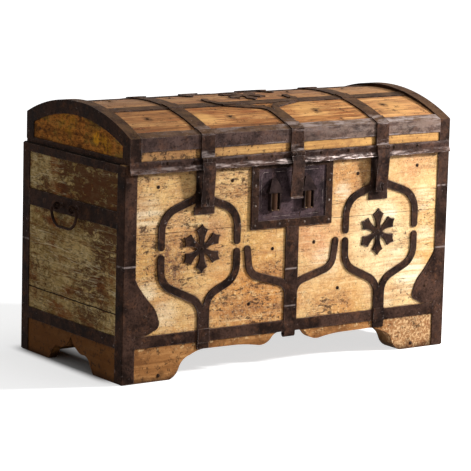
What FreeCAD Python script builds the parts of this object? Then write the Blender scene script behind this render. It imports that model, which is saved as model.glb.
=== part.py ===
import FreeCAD, Part
import math
import os

# An iron-bound chest with a barrel lid: painted boards on bracket feet, forged
# corner irons, tulip straps with six-armed stars, a towered lock and three hasps.
# X runs along the front, Y towards the back, Z up. The origin is on the floor,
# under the middle of the whole chest. Every length is in millimetres.

SHEET = "Sizes"

DRIVING_SIZES = [
    # carcass
    ("chest_width", 1194, "over the corner irons"),
    ("chest_depth", 580, "over the corner irons"),
    ("rim_height", 643, "floor to the joint of body and lid"),
    ("board_thickness", 28, "boards of carcass, plinth and lid frame"),
    ("plinth_share", 0.174184, "underside of the floor boards, of the rim's height"),
    ("floor_thickness", 22, "floor boards"),
    ("board_seam", 0.4, "open seam between boards laid side by side"),
    ("front_joint_share", 0.679627, "joint in the front and back, of the rim's height"),
    ("end_joint_share", 0.317263, "joint in the ends, of the rim's height"),
    ("foot_block_depth", 42, "blocks glued behind the feet"),
    # lid
    ("lid_overhang", 10, "lid irons in front of the body's irons"),
    ("lid_inset", 10, "lid set in at the ends"),
    ("lid_back_inset", 4, "lid set in at the back"),
    ("lid_gap", 0.6, "lid frame above the rim"),
    ("lid_eaves_rise", 75, "barrel's front edge above the rim"),
    ("lid_rise", 75, "rise of the arched ends above the front eaves"),
    ("stave_rise_share", 0.893333, "rise of the barrel boards, of the ends' rise"),
    ("crown_shift", 14, "crown of the barrel behind the lid's middle"),
    ("stave_thickness", 20, "barrel boards"),
    # forged irons
    ("iron_thickness", 3, "corner irons, bands and edge irons"),
    ("strap_thickness", 4, "straps, tulips and stars"),
    ("strap_width", 46, "front and lid straps"),
    ("strap_share", 0.537688, "middle strap to each outer strap, of half the width"),
    ("strap_step", 4, "length of the joggle beside a crossed iron"),
    ("corner_leg_front", 42, "corner iron on the front"),
    ("corner_leg_end", 40, "corner iron on the end"),
    ("corner_lift", 3, "corner irons above the floor"),
    ("corner_top_gap", 3, "corner irons below the rim"),
    ("corner_rounding", 2.5, "outer edge of the corner irons"),
    ("left_seam_share", 0.536547, "joint of the left corner iron, of the rim's height"),
    ("right_seam_share", 0.489891, "joint of the right corner iron, of the rim's height"),
    ("lobe_reach", 83, "leaf lobe beyond the corner iron's edge"),
    ("lobe_gap", 1, "lower end of the lobe above the base band"),
    ("lobe_height_share", 0.264386, "length of the lobe, of the rim's height"),
    ("base_band_lap", 8, "lower edge of the base band below the floor boards"),
    ("base_band_width", 34, "base band"),
    ("middle_band_share", 0.707621, "lower edge of the middle end band, of the rim's height"),
    ("middle_band_width", 49, "middle end band"),
    ("rim_band_width", 23, "band under the rim of each end"),
    # tulip straps on the front
    ("arm_width", 22, "tulip arms"),
    ("outer_arm_share", 0.78392, "middle to a frame's outer arm, of half the width"),
    ("inner_arm_share", 0.336683, "middle to a frame's inner arm, of half the width"),
    ("left_lower_strap_share", 0.529313, "middle to the left lower strap, of half the width"),
    ("right_lower_strap_share", 0.564489, "middle to the right lower strap, of half the width"),
    ("lower_strap_width", 40, "lower straps of the frames"),
    ("upper_arm_end_share", 0.617418, "upper arms' ends, of the rim's height"),
    ("upper_arm_straight", 43, "straight end of an upper arm"),
    ("upper_arm_bend", 70, "bend radius of an upper arm"),
    ("upper_arm_merge", 30, "radius where an upper arm leaves its strap"),
    ("lower_arm_end_share", 0.564541, "lower arms' ends, of the rim's height"),
    ("lower_arm_straight_share", 0.059098, "straight end of a lower arm, of the rim's height"),
    ("lower_arm_bend_share", 0.093313, "bend radius of a lower arm, of the rim's height"),
    ("lower_arm_merge_share", 0.093313, "radius beside its strap, of the rim's height"),
    ("centre_arm_share", 0.273032, "middle to the end of a centre arm, of half the width"),
    ("centre_arm_end_share", 0.570762, "centre arms' ends, of the rim's height"),
    ("centre_arm_straight", 48, "straight end of a centre arm"),
    ("centre_arm_bend", 45, "bend radius of a centre arm"),
    ("centre_arm_merge", 42, "radius where a centre arm leaves its strap"),
    ("strap_foot_drop", 22, "outer straps below the base band"),
    ("base_plate_width", 58, "strap behind an outer hasp"),
    ("base_plate_end_width", 70, "square end of that strap"),
    ("base_plate_end_height", 22, "square end of that strap"),
    ("base_plate_tail", 25, "lower end of that strap below the hasp's tip"),
    ("curl_radius", 9, "rolled lower end of the centre strap"),
    ("curl_width", 38, "rolled lower end of the centre strap"),
    ("star_radius", 73, "six-armed stars"),
    ("star_height_share", 0.59409, "front stars' centres, of the rim's height"),
    ("star_share", 0.546064, "middle to each front star, of half the width"),
    # lid irons
    ("arch_leg", 38, "arch irons, both legs"),
    ("edge_iron_rise", 37, "lower edge of the top edge irons above the rim"),
    ("edge_iron_reach", 25, "top edge irons over the barrel"),
    ("lip_rise", 9, "upper edge of the front lip above the rim"),
    ("lip_fold_drop", 9, "where the lip turns out, below the rim"),
    ("lip_drop", 25, "lower edge of the lip below the rim"),
    ("lip_flare", 7, "lip's lower edge in front of its flat"),
    ("end_iron_rise", 15, "upper edge of the lid's end bands above the rim"),
    ("back_band_rise", 37, "upper edge of the lid's back band above the rim"),
    ("cross_strap_width", 34, "long straps over the barrel"),
    ("cross_strap_place", 98, "long straps from the lid's middle"),
    ("lid_left_arm", 165, "middle to the ends of the lid's left arms"),
    ("lid_right_arm", 135, "middle to the ends of the lid's right arms"),
    ("lid_arm_end", 40, "lid arms' ends from the lid's middle"),
    ("lid_arm_straight", 34, "straight end of a lid arm"),
    ("lid_arm_bend", 40, "bend radius of a lid arm"),
    ("lid_arm_merge", 40, "radius where a lid arm leaves its strap"),
    ("fork_nail_gap", 18.4, "nail in the lid strap's fork from the long strap"),
    # hinges of the lid
    ("hinge_play", 1, "lid hinge knuckles behind the lid straps"),
    ("hinge_barrel", 7, "outer radius of the lid hinge knuckles"),
    ("hinge_pin", 3.5, "radius of the lid hinge pins"),
    ("hinge_leaf_length", 165, "leaves on the back boards"),
    ("knuckle_gap", 0.5, "side gap between knuckles"),
    ("pin_clearance", 0.06, "radial running clearance of every hinge pin"),
    # hasps
    ("hasp_width", 44, "hasps"),
    ("hasp_hinge_rise", 3, "hasp hinge axes above the rim"),
    ("hasp_barrel", 6.2, "outer radius of the hasp knuckles"),
    ("hasp_pin", 3, "radius of the hasp pins"),
    ("hasp_knuckle_gap", 0.4, "hasp knuckles in front of the lid irons"),
    ("hasp_shoulder_gap", 0.5, "hasp plate below the knuckles"),
    ("hasp_neck_offset", 5, "hasp's back in front of the lid irons, at the neck"),
    ("hasp_bend_drop", 2, "bend of the hasp below the lip"),
    ("hasp_bulge", 10.8, "hasp's back in front of the lid irons, at the bend"),
    ("hasp_tip_share", 0.791602, "lower ends of the outer hasps, of the rim's height"),
    ("hasp_tip_offset", 1.4, "hasp's back in front of the lid irons, at its tip"),
    ("hasp_slot_width", 10, "slot for the staple"),
    ("hasp_slot_height", 25, "slot for the staple"),
    ("hasp_slot_lift", 14, "middle of the slot above the hasp's tip"),
    ("hasp_bend_radius", 8, "bend over the lip"),
    ("catch_shift", 2, "catch and its slot to the left of the middle"),
    ("centre_hasp_lift", 5, "lower end of the centre hasp above the outer ones"),
    ("hasp_curl", 4, "radius of the rolled end of the centre hasp"),
    ("staple_lift", 12, "staples above the hasp's tip"),
    ("staple_ring", 4.5, "ring radius of a staple"),
    ("staple_wire", 2.5, "wire radius of a staple"),
    ("staple_leg", 3, "staple legs before the ring"),
    # lock
    ("lock_shift", 5, "lock plate to the left of the middle"),
    ("lock_share", 0.247906, "half of the lock plate, of half the width"),
    ("lock_bottom_share", 0.659409, "lower edge of the lock plate, of the rim's height"),
    ("lock_drop", 15, "upper edge of the lock plate below the rim"),
    ("lock_border", 24, "raised border of the lock plate"),
    ("tower_shift", 13, "pair of towers to the left of the middle"),
    ("tower_spacing", 62, "towers from the middle of the pair"),
    ("tower_sill_drop", 42, "underside of the towers below the bolt"),
    ("tower_eaves_rise", 12, "underside of the tower roofs above the bolt"),
    ("tower_roof_height", 42, "tower roof from its underside to its top"),
    ("tower_width", 36, "tower body"),
    ("tower_eaves_width", 52, "tower roof"),
    ("tower_depth", 14, "tower body in front of the plate"),
    ("tower_eaves_depth", 17, "tower roof in front of the plate"),
    ("tower_wall", 3, "tower cheeks and sill"),
    ("barrel_radius", 13, "upright barrel inside a tower"),
    ("roof_ridge_width", 14, "top of a tower roof"),
    ("roof_ridge_depth", 4, "top of a tower roof"),
    ("case_half_width", 84, "lock case"),
    ("case_depth", 22, "lock case"),
    ("case_half_height", 45, "lock case above and below the bolt"),
    ("case_wall", 2, "lock case"),
    ("catch_width", 12, "catch on the back of the centre hasp"),
    ("catch_height", 12, "catch"),
    ("catch_lift", 6, "bolt and catch's eye above the centre hasp's end"),
    ("catch_tip_wall", 2, "iron beyond the catch's eye"),
    ("catch_slot_margin", 1, "lock plate slot beside the catch"),
    ("catch_slot_height", 24, "lock plate slot"),
    ("bolt_thickness", 2.4, "bolt plate"),
    ("bolt_height", 12, "bolt plate"),
    ("bolt_tongue_height", 5, "bolt's tongue"),
    ("bolt_tongue_length", 18, "bolt's tongue"),
    ("bolt_room", 5, "bolt's end to the case's wall, unlocked"),
    ("bolt_start", 8, "tongue's tip from the catch's middle, unlocked"),
    ("bolt_clearance", 0.3, "around the bolt in its guides and the catch"),
    ("bolt_plate_gap", 0.9, "bolt behind the lock plate"),
    ("guide_width", 6, "bolt guides"),
    ("guide_start", 28, "first guide from the catch's middle"),
    ("guide_pitch", 20, "from guide to guide"),
    ("keyhole_width", 4, "keyhole"),
    ("keyhole_height", 14, "keyhole"),
    ("keyhole_shift", 30, "keyhole from the lock plate's middle"),
    ("keyhole_lift", 28, "lower end of the keyhole above the plate's edge"),
    # end handles
    ("bail_lift", 25, "bails' pivots above the middle band's lower edge"),
    ("bail_standoff", 20, "bail pivot outside the end irons"),
    ("bail_wire", 4.25, "wire radius of a bail"),
    ("bail_half_width", 71, "middle to the side of a bail"),
    ("bail_drop", 60, "pivot to the bottom of a bail"),
    ("bail_shoulder", 15, "bend radius beside the eyes"),
    ("bail_corner", 48, "bend radius of the lower corners"),
    ("bail_shift", 12, "handles behind the middle of the end"),
    ("bail_stub", 33, "inner end of a bail from the middle"),
    ("eye_spacing", 43, "eyes from the middle of the bail"),
    ("eye_hole", 5.2, "hole radius of an eye"),
    ("eye_wire", 3.5, "wire radius of an eye"),
    ("eye_stem", 3, "radius of the stem behind an eye"),
    ("eye_rose", 9, "radius of the rose under an eye"),
    ("eye_rose_height", 2, "rose under an eye"),
    # nails
    ("nail_radius", 6, "rose-headed nails"),
    ("nail_height", 2.6, "rose-headed nails"),
    # shared by every cut
    ("overrun", 5, "how far a cutting body runs past what it cuts"),
]

# turns of the bent irons, in degrees
UPPER_ARM_TURN = 70.0
LOWER_ARM_TURN = 65.0
CENTRE_ARM_TURN = 74.0
CENTRE_ARM_LEAN = 7.5
LID_ARM_TURN = 71.0
CENTRE_HASP_HOME = 4.2

STAVE_COUNT = 8
STAR_ARMS = 6
FLOOR_BOARDS = 3
NAIL_SIDES = 6

# Front apron's lower edge from a foot to the middle, as shares of the front's half
# width and the plinth's height: one point is a straight run, two are an arc.
FOOT_START_SHARE = 0.724
APRON_EDGE_SHARES = [
    [(0.692, 0.10), (0.670, 0.28)],
    [(0.648, 0.47), (0.603, 0.60)],
    [(0.556, 0.695), (0.486, 0.723)],
    [(0.318, 0.714)],
    [(0.253, 0.685), (0.192, 0.634)],
    [(0.147, 0.655), (0.114, 0.768)],
    [(0.090, 0.89), (0.054, 0.928)],
]
# End apron's lower edge, as shares of its half length and the plinth's height.
END_FOOT_START_SHARE = 0.50
END_APRON_EDGE_SHARES = [
    [(0.462, 0.10), (0.418, 0.25)],
    [(0.362, 0.39), (0.280, 0.428)],
    [(0.205, 0.437), (0.136, 0.51)],
    [(0.055, 0.63), (0.0, 0.82)],
]
# Lobe of a corner iron, from its top, as shares of its reach and its height.
LOBE_SHARES = [
    [(0.10, 0.90), (0.24, 0.80)],
    [(0.42, 0.68), (0.62, 0.57)],
    [(0.88, 0.40), (0.97, 0.27)],
    [(0.98, 0.14), (0.80, 0.08)],
    [(0.45, 0.01), (0.0, 0.02)],
]
# One arm of a star, as shares of its radius.
STAR_HUB_SHARE = 0.19
STAR_STEM_SHARE = 0.10
STAR_STEM_END_SHARE = 0.30
STAR_BARB_SHARES = [(0.15, 0.54), (0.27, 0.76)]
STAR_POINT_SHARES = [(0.12, 0.84), (0.0, 1.0)]
# Rings of a nail head, as shares of its height and radius.
NAIL_RING_SHARES = [(0, 1.0), (0.35, 0.95), (1.0, 0.25)]
# Nails in the front boards, as shares of half the front's width and the rim's height.
FRONT_NAIL_SHARES = [
    (-0.810, 0.893), (-0.372, 0.897), (-0.118, 0.561), (0.140, 0.574), (0.409, 0.883),
    (0.796, 0.900), (0.300, 0.341), (-0.256, 0.311), (-0.790, 0.026), (0.796, 0.026),
]
# Nail in each lobe, as shares of its reach and height.
LOBE_NAIL_SHARE = (0.42, 0.34)
# Nails along the lip, as shares of half the lid's width.
LIP_NAIL_SHARES = [-0.784, -0.625, -0.308, -0.152, 0.157, 0.334, 0.633, 0.790]
# Nails in the barrel, as shares of half the lid's width and of its half depth.
BARREL_NAIL_SHARES = [
    (-0.785, -0.62), (-0.305, -0.68), (0.245, -0.66), (0.700, -0.62),
    (-0.785, 0.10), (-0.420, 0.10), (0.330, 0.10), (0.700, 0.10),
    (-0.785, 0.62), (-0.305, 0.66), (0.245, 0.66), (0.700, 0.62),
]
# Nail in the front fork of the middle lid strap, as a share of half the lid's width.
FORK_NAIL_SHARE = -0.02


class Size:
    """A length with the sheet formula that it comes from."""

    def __init__(self, value, text):
        self.value = value
        self.text = text

    def __float__(self):
        return float(self.value)

    def __add__(self, other):
        return Size(float(self) + float(other), "(%s + %s)" % (self.text, formula(other)))

    def __radd__(self, other):
        return Size(float(other) + float(self), "(%s + %s)" % (formula(other), self.text))

    def __sub__(self, other):
        return Size(float(self) - float(other), "(%s - %s)" % (self.text, formula(other)))

    def __rsub__(self, other):
        return Size(float(other) - float(self), "(%s - %s)" % (formula(other), self.text))

    def __mul__(self, other):
        return Size(float(self) * float(other), "(%s * %s)" % (self.text, formula(other)))

    def __rmul__(self, other):
        return self * other

    def __truediv__(self, other):
        return Size(float(self) / float(other), "(%s / %s)" % (self.text, formula(other)))

    def __neg__(self):
        return Size(-float(self), "(0 - %s)" % self.text)


def formula(number):
    if isinstance(number, Size):
        return number.text
    return repr(float(number))


document = FreeCAD.newDocument("IronBoundChest")
sheet = document.addObject("Spreadsheet::Sheet", SHEET)
for row, (alias, value, meaning) in enumerate(DRIVING_SIZES, start=1):
    sheet.set("A%d" % row, meaning)
    sheet.set("B%d" % row, str(value))
    sheet.setAlias("B%d" % row, alias)
document.recompute()


def size(alias):
    return Size(float(sheet.get(alias)), "%s.%s" % (SHEET, alias))


nodes = []


def name_node(piece, label):
    """Keep a finished piece as a part of the chest."""
    piece.Label = label
    nodes.append(piece)
    return piece


def helper(kind, purpose):
    return document.addObject(kind, purpose)


def place(piece, x, y, z):
    for axis, value in zip("xyz", (x, y, z)):
        piece.setExpression("Placement.Base." + axis, formula(value))


def block(purpose, x_span, y_span, z_span):
    """A box between three pairs of planes, bound to the sheet."""
    piece = helper("Part::Box", purpose)
    for side, span in zip(("Length", "Width", "Height"), (x_span, y_span, z_span)):
        piece.setExpression(side, (span[1] - span[0]).text)
    place(piece, x_span[0], y_span[0], z_span[0])
    return piece


def cut(purpose, base, tool):
    piece = helper("Part::Cut", purpose)
    piece.Base = base
    piece.Tool = tool
    return piece


def fuse(purpose, pieces):
    piece = helper("Part::MultiFuse", purpose)
    piece.Shapes = pieces
    return piece


def group(purpose, pieces):
    """Separate solids that share one node."""
    piece = helper("Part::Compound", purpose)
    piece.Links = pieces
    return piece


def mirrored(purpose, source, normal, base):
    piece = helper("Part::Mirroring", purpose)
    piece.Source = source
    piece.Normal = FreeCAD.Vector(*normal)
    for axis, value in zip("xyz", base):
        piece.setExpression("Base." + axis, formula(value))
    return piece


def shaped(purpose, shape):
    piece = helper("Part::Feature", purpose)
    piece.Shape = shape
    return piece


def vector(u, v, w=0):
    return FreeCAD.Vector(float(u), float(v), float(w))


def outline(start, runs):
    """Closed outline: a run of one point is a line, a run of two is an arc."""
    geometry = []
    here = vector(*start)
    for run in runs:
        points = [vector(*point) for point in run]
        if len(points) == 1:
            geometry.append(Part.LineSegment(here, points[0]))
        else:
            geometry.append(Part.Arc(here, points[0], points[1]))
        here = points[-1]
    first = vector(*start)
    if here.distanceToPoint(first) > 0:
        geometry.append(Part.LineSegment(here, first))
    return geometry


def rounded(corners, closed=True):
    """Outline through corners (u, v, radius), each turned with an arc of that radius."""
    stations = []
    count = len(corners)
    for index, (u, v, radius) in enumerate(corners):
        corner = vector(u, v)
        at_end = not closed and index in (0, count - 1)
        if float(radius) == 0 or at_end:
            stations.append((corner, None, corner))
            continue
        before = vector(*corners[index - 1][:2]) - corner
        after = vector(*corners[(index + 1) % count][:2]) - corner
        before.normalize()
        after.normalize()
        half = before.getAngle(after) / 2
        middle = before + after
        middle.normalize()
        reach = float(radius) / math.tan(half)
        depth = float(radius) / math.sin(half) - float(radius)
        stations.append((corner + before * reach, corner + middle * depth, corner + after * reach))
    geometry = []
    for index, (start, middle, end) in enumerate(stations):
        if middle is not None:
            geometry.append(Part.Arc(start, middle, end))
        if closed or index < count - 1:
            following = stations[(index + 1) % count][0]
            geometry.append(Part.LineSegment(end, following))
    return geometry


def face_of(geometry):
    edges = [curve.toShape() for curve in geometry]
    return Part.Face(Part.Wire(Part.__sortEdges__(edges)))


def mirror_runs(start, runs):
    """The same runs backwards on the other side of u = 0."""
    points = [[start]] + list(runs)
    ends = [run[-1] for run in points]
    back = []
    for index in range(len(runs) - 1, -1, -1):
        turned = [(-point[0], point[1]) for point in runs[index][:-1]]
        turned.append((-ends[index][0], ends[index][1]))
        back.append(turned)
    return back


def scaled_runs(share_runs, u_scale, v_scale, u_start=0, v_start=0):
    return [
        [(u_start + share_u * u_scale, v_start + share_v * v_scale) for share_u, share_v in run]
        for run in share_runs
    ]


def origin_plane(body, role):
    for feature in body.Origin.OriginFeatures:
        if feature.Role == role:
            return feature
    raise ValueError("no plane " + role)


def sketch_on(body, role, purpose, geometry):
    sketch = body.newObject("Sketcher::SketchObject", purpose + "_outline")
    sketch.AttachmentSupport = [(origin_plane(body, role), "")]
    sketch.MapMode = "FlatFace"
    sketch.addGeometry(geometry, False)
    return sketch


def padded(purpose, role, geometry, depth, origin):
    """A body padded from an outline on one of its own planes."""
    body = helper("PartDesign::Body", purpose)
    sketch = sketch_on(body, role, purpose, geometry)
    pad = body.newObject("PartDesign::Pad", purpose + "_pad")
    pad.Profile = sketch
    pad.setExpression("Length", formula(depth))
    sketch.Visibility = False
    body.Tip = pad
    place(body, *origin)
    return body


# Derived places
half_width = size("chest_width") / 2
iron = size("iron_thickness")
strap = size("strap_thickness")
board = size("board_thickness")
overrun = size("overrun")
wood_x = half_width - iron
inner_x = wood_x - board
lid_front_reach = size("chest_depth") / 2 + size("lid_overhang")
front_reach = lid_front_reach + size("hasp_bulge") + strap
hinge_offset = iron + strap + size("hinge_play") + size("hinge_barrel") - size("lid_back_inset")
back_reach = size("chest_depth") / 2 - iron + hinge_offset + size("hinge_barrel")
# the carcass stands a little behind the middle, because the hasps reach further
carcass_y = (front_reach - back_reach) / 2
wood_half_depth = size("chest_depth") / 2 - iron
front_y = carcass_y - wood_half_depth
back_y = carcass_y + wood_half_depth
inner_front_y = front_y + board
inner_back_y = back_y - board
zero = half_width - half_width
strap_x = half_width * size("strap_share")
star_x = half_width * size("star_share")
rim_z = size("rim_height")
plinth_z = rim_z * size("plinth_share")
floor_z = plinth_z + size("floor_thickness")
base_band_z = plinth_z - size("base_band_lap")
lobe_z = base_band_z + size("base_band_width") + size("lobe_gap")
lobe_height = rim_z * size("lobe_height_share")
star_z = rim_z * size("star_height_share")
middle_band_z = rim_z * size("middle_band_share")
bail_y = carcass_y + size("bail_shift")
bail_z = middle_band_z + size("bail_lift")
# lid irons and hasps hang from the rim, and the lock from the centre hasp
edge_iron_z = rim_z + size("edge_iron_rise")
lip_top_z = rim_z + size("lip_rise")
lip_fold_z = rim_z - size("lip_fold_drop")
lip_low_z = rim_z - size("lip_drop")
hasp_z = rim_z + size("hasp_hinge_rise")
hasp_bend_z = lip_low_z - size("hasp_bend_drop")
hasp_tip_z = rim_z * size("hasp_tip_share")
centre_tip_z = hasp_tip_z + size("centre_hasp_lift")
catch_z = centre_tip_z + size("catch_lift")
lock_low_z = rim_z * size("lock_bottom_share")

# Carcass boards


def carcass_boards():
    joint = rim_z * size("front_joint_share")
    lock_x = -size("lock_shift")
    whole = (-wood_x, wood_x)
    lower = block("front_lower", whole, (front_y, inner_front_y), (floor_z, joint))
    name_node(lower, "front_board_lower")
    upper = block("front_upper_blank", whole, (front_y, inner_front_y), (joint, rim_z))
    pocket = block(
        "lock_pocket",
        (lock_x - size("case_half_width"), lock_x + size("case_half_width")),
        (front_y - overrun, front_y + size("case_depth")),
        (catch_z - size("case_half_height"), catch_z + size("case_half_height")),
    )
    name_node(cut("front_upper", upper, pocket), "front_board_upper")
    back_span = (inner_back_y, back_y)
    name_node(block("back_lower", whole, back_span, (floor_z, joint)), "back_board_lower")
    name_node(block("back_upper", whole, back_span, (joint, rim_z)), "back_board_upper")
    end_joint = rim_z * size("end_joint_share")
    between = (inner_front_y, inner_back_y)
    for side, span in (("left", (-wood_x, -inner_x)), ("right", (inner_x, wood_x))):
        lower = block(side + "_lower", span, between, (floor_z, end_joint))
        upper = block(side + "_upper", span, between, (end_joint, rim_z))
        name_node(lower, side + "_board_lower")
        name_node(upper, side + "_board_upper")


def floor_boards():
    share = (back_y - front_y) / FLOOR_BOARDS
    pieces = []
    for number in range(FLOOR_BOARDS):
        start = front_y + share * number
        end = start + share - size("board_seam")
        if number == FLOOR_BOARDS - 1:
            end = back_y
        pieces.append(block("floor_board", (-wood_x, wood_x), (start, end), (plinth_z, floor_z)))
    name_node(group("floor", pieces), "floor_boards")


def front_apron_runs(half):
    return scaled_runs(APRON_EDGE_SHARES, float(half), float(plinth_z))


def apron_geometry(half, foot_share, runs):
    """Apron outline: flat top, feet at both ends and the scrolled edge between."""
    edge = float(half)
    top = float(plinth_z)
    foot = (edge * foot_share, 0)
    last = runs[-1][-1]
    across = mirror_runs(foot, runs)
    path = [[(edge, 0)], [foot]] + runs
    if last[0] > 0:
        path.append([(-last[0], last[1])])
    path += across
    path += [[(-edge, 0)], [(-edge, top)]]
    return outline((edge, top), path)


def aprons():
    geometry = apron_geometry(wood_x, FOOT_START_SHARE, front_apron_runs(wood_x))
    front = padded("front_apron", "XZ_Plane", geometry, board, (zero, inner_front_y, zero))
    back = padded("back_apron", "XZ_Plane", geometry, board, (zero, back_y, zero))
    name_node(front, "apron_front")
    name_node(back, "apron_back")
    half = (inner_back_y - inner_front_y) / 2
    runs = scaled_runs(END_APRON_EDGE_SHARES, float(half), float(plinth_z))
    geometry = apron_geometry(half, END_FOOT_START_SHARE, runs)
    left = padded("left_apron", "YZ_Plane", geometry, board, (-wood_x, carcass_y, zero))
    right = padded("right_apron", "YZ_Plane", geometry, board, (inner_x, carcass_y, zero))
    name_node(left, "apron_left")
    name_node(right, "apron_right")


def foot_blocks():
    """Blocks behind the feet, sawn to the same scroll as the front apron."""
    runs = front_apron_runs(wood_x)[:2]
    foot = (float(wood_x) * FOOT_START_SHARE, 0)
    edge = float(inner_x)
    end = runs[-1][-1]
    path = [[(edge, 0)], [foot]] + runs + [[(end[0], float(plinth_z))]]
    geometry = outline((edge, float(plinth_z)), path)
    depth = size("foot_block_depth")
    pieces = []
    for name, y in (("front", inner_front_y + depth), ("back", inner_back_y)):
        right = padded(name + "_right_block", "XZ_Plane", geometry, depth, (zero, y, zero))
        left = mirrored(name + "_left_block", right, (1, 0, 0), (zero, zero, zero))
        pieces += [right, left]
    name_node(group("blocks", pieces), "foot_blocks")


# Corner irons and bands


def corner_length(purpose, bottom, top, lobed):
    """One length of the front right corner iron, with its lobe on the lower length."""
    out_x = float(half_width)
    out_y = float(wood_half_depth + iron)
    turn = float(size("corner_rounding"))
    geometry = rounded([
        (out_x - float(size("corner_leg_front")), -out_y, 0),
        (out_x, -out_y, turn),
        (out_x, float(size("corner_leg_end")) - out_y, 0),
        (float(wood_x), float(size("corner_leg_end")) - out_y, 0),
        (float(wood_x), float(iron) - out_y, 0),
        (out_x - float(size("corner_leg_front")), float(iron) - out_y, 0),
    ])
    angle = padded(purpose, "XY_Plane", geometry, top - bottom, (zero, carcass_y, bottom))
    if not lobed:
        return angle
    reach = float(size("lobe_reach"))
    height = float(lobe_height)
    base = float(lobe_z)
    edge = float(half_width - size("corner_leg_front"))
    runs = scaled_runs(LOBE_SHARES, -reach, height, edge, base)
    geometry = outline((edge, base + height), runs)
    lobe = padded(purpose + "_lobe", "XZ_Plane", geometry, iron, (zero, front_y, zero))
    return fuse(purpose + "_with_lobe", [angle, lobe])


def corner_irons():
    bottom = size("corner_lift")
    top = rim_z - size("corner_top_gap")
    middle = (zero, zero, zero)
    for side, share in (("left", size("left_seam_share")), ("right", size("right_seam_share"))):
        seam = rim_z * share
        lower = corner_length(side + "_corner_lower", bottom, seam, True)
        upper = corner_length(side + "_corner_upper", seam, top, False)
        if side == "left":
            lower = mirrored("left_corner_lower_mirrored", lower, (1, 0, 0), middle)
            upper = mirrored("left_corner_upper_mirrored", upper, (1, 0, 0), middle)
        name_node(group(side + "_corner", [lower, upper]), "corner_iron_" + side)
    plain = corner_length("plain_corner", bottom, top, False)
    right = mirrored("back_right_corner", plain, (0, 1, 0), (zero, carcass_y, zero))
    left = mirrored("back_left_corner", right, (1, 0, 0), middle)
    name_node(group("back_corners", [right, left]), "corner_irons_back")


def bands():
    """Flat bands between the corner irons; the outer straps step over the front ones."""
    span = (base_band_z, base_band_z + size("base_band_width"))
    edge = half_width - size("corner_leg_front")
    half_strap = size("strap_width") / 2
    front = (front_y - iron, front_y)
    pieces = [
        block("base_front_left", (-edge, -half_strap), front, span),
        block("base_front_right", (half_strap, edge), front, span),
        block("base_back", (-edge, edge), (back_y, back_y + iron), span),
    ]
    ends = (front_y - iron + size("corner_leg_end"), back_y + iron - size("corner_leg_end"))
    left = (-half_width, -wood_x)
    right = (wood_x, half_width)
    pieces += [block("base_end", side, ends, span) for side in (left, right)]
    name_node(group("base_band_set", pieces), "base_bands")
    middle = (middle_band_z, middle_band_z + size("middle_band_width"))
    rim_top = rim_z - size("corner_top_gap")
    rim = (rim_top - size("rim_band_width"), rim_top)
    pieces = [block("end_band", side, ends, span) for side in (left, right) for span in (middle, rim)]
    name_node(group("end_band_set", pieces), "end_bands")


# Tulip straps: flat irons drawn in (u, v) with v along the stem


class Arm:
    """A tulip arm from its rounded end to where it runs into the stem."""

    def __init__(self, half, end, straight, bend, merge, turn, lean=0.0):
        self.half = float(half)
        self.end = float(end)
        self.straight = float(straight)
        self.bend = float(bend)
        self.merge = float(merge)
        self.turn = math.radians(turn)
        self.lean = math.radians(lean)

    def stations(self, width, stem_width):
        """Points on the arm's centre line, each with the angle that it runs at."""
        first = vector(self.half, self.end)
        second = first + self.run(self.lean) * self.straight
        centre = second + self.side(self.lean) * self.bend
        half_turn = (self.lean + self.turn) / 2
        third = centre - self.side(half_turn) * self.bend
        fourth = centre - self.side(self.turn) * self.bend
        target = (stem_width - width) / 2
        slope = fourth.x - self.merge * (1 - math.cos(self.turn)) - target
        fifth = fourth + self.run(self.turn) * (slope / math.sin(self.turn))
        centre = fifth - self.side(self.turn) * self.merge
        sixth = centre + self.side(self.turn / 2) * self.merge
        last = centre + self.side(0.0) * self.merge
        return [
            (first, self.lean), (second, self.lean), (third, half_turn), (fourth, self.turn),
            (fifth, self.turn), (sixth, self.turn / 2), (last, 0.0),
        ]

    @staticmethod
    def run(angle):
        return vector(-math.sin(angle), -math.cos(angle))

    @staticmethod
    def side(angle):
        return vector(-math.cos(angle), math.sin(angle))

    def face(self, width, stem_width):
        half = width / 2
        marks = self.stations(width, stem_width)
        near = [point + self.side(angle) * half for point, angle in marks]
        far = [point - self.side(angle) * half for point, angle in marks]
        cap = marks[0][0] - self.run(self.lean) * half
        edges = [
            Part.Arc(far[0], cap, near[0]),
            Part.LineSegment(near[0], near[1]),
            Part.Arc(near[1], near[2], near[3]),
            Part.LineSegment(near[3], near[4]),
            Part.Arc(near[4], near[5], near[6]),
            Part.LineSegment(near[6], far[6]),
            Part.Arc(far[6], far[5], far[4]),
            Part.LineSegment(far[4], far[3]),
            Part.Arc(far[3], far[2], far[1]),
            Part.LineSegment(far[1], far[0]),
        ]
        return face_of(edges)


def both_sides(face):
    return [face, face.mirror(vector(0, 0), vector(1, 0))]


def flipped(face):
    """Turned end for end along the stem."""
    return face.mirror(vector(0, 0), vector(0, 1))


def rectangle(u_low, u_high, v_low, v_high):
    corners = [(u_low, v_low), (u_high, v_low), (u_high, v_high), (u_low, v_high)]
    return face_of(rounded([(u, v, 0) for u, v in corners]))


def slab(faces, low, high):
    """Faces in the plane made into one solid between two depths."""
    depth = float(high) - float(low)
    solids = [face.extrude(vector(0, 0, depth)) for face in faces]
    whole = solids[0]
    if len(solids) > 1:
        whole = solids[0].fuse(solids[1:]).removeSplitter()
    whole.translate(vector(0, 0, low))
    return whole


def stand_on_front(shape, x):
    """Turn a flat iron upright, with its back on the front boards."""
    upright = shape.copy()
    upright.rotate(vector(0, 0), vector(1, 0), 90)
    upright.translate(vector(x, front_y))
    return upright


def one_solid(shape):
    if len(shape.Solids) != 1:
        raise ValueError("a piece fell into %d solids" % len(shape.Solids))
    return shape.Solids[0]


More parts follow.
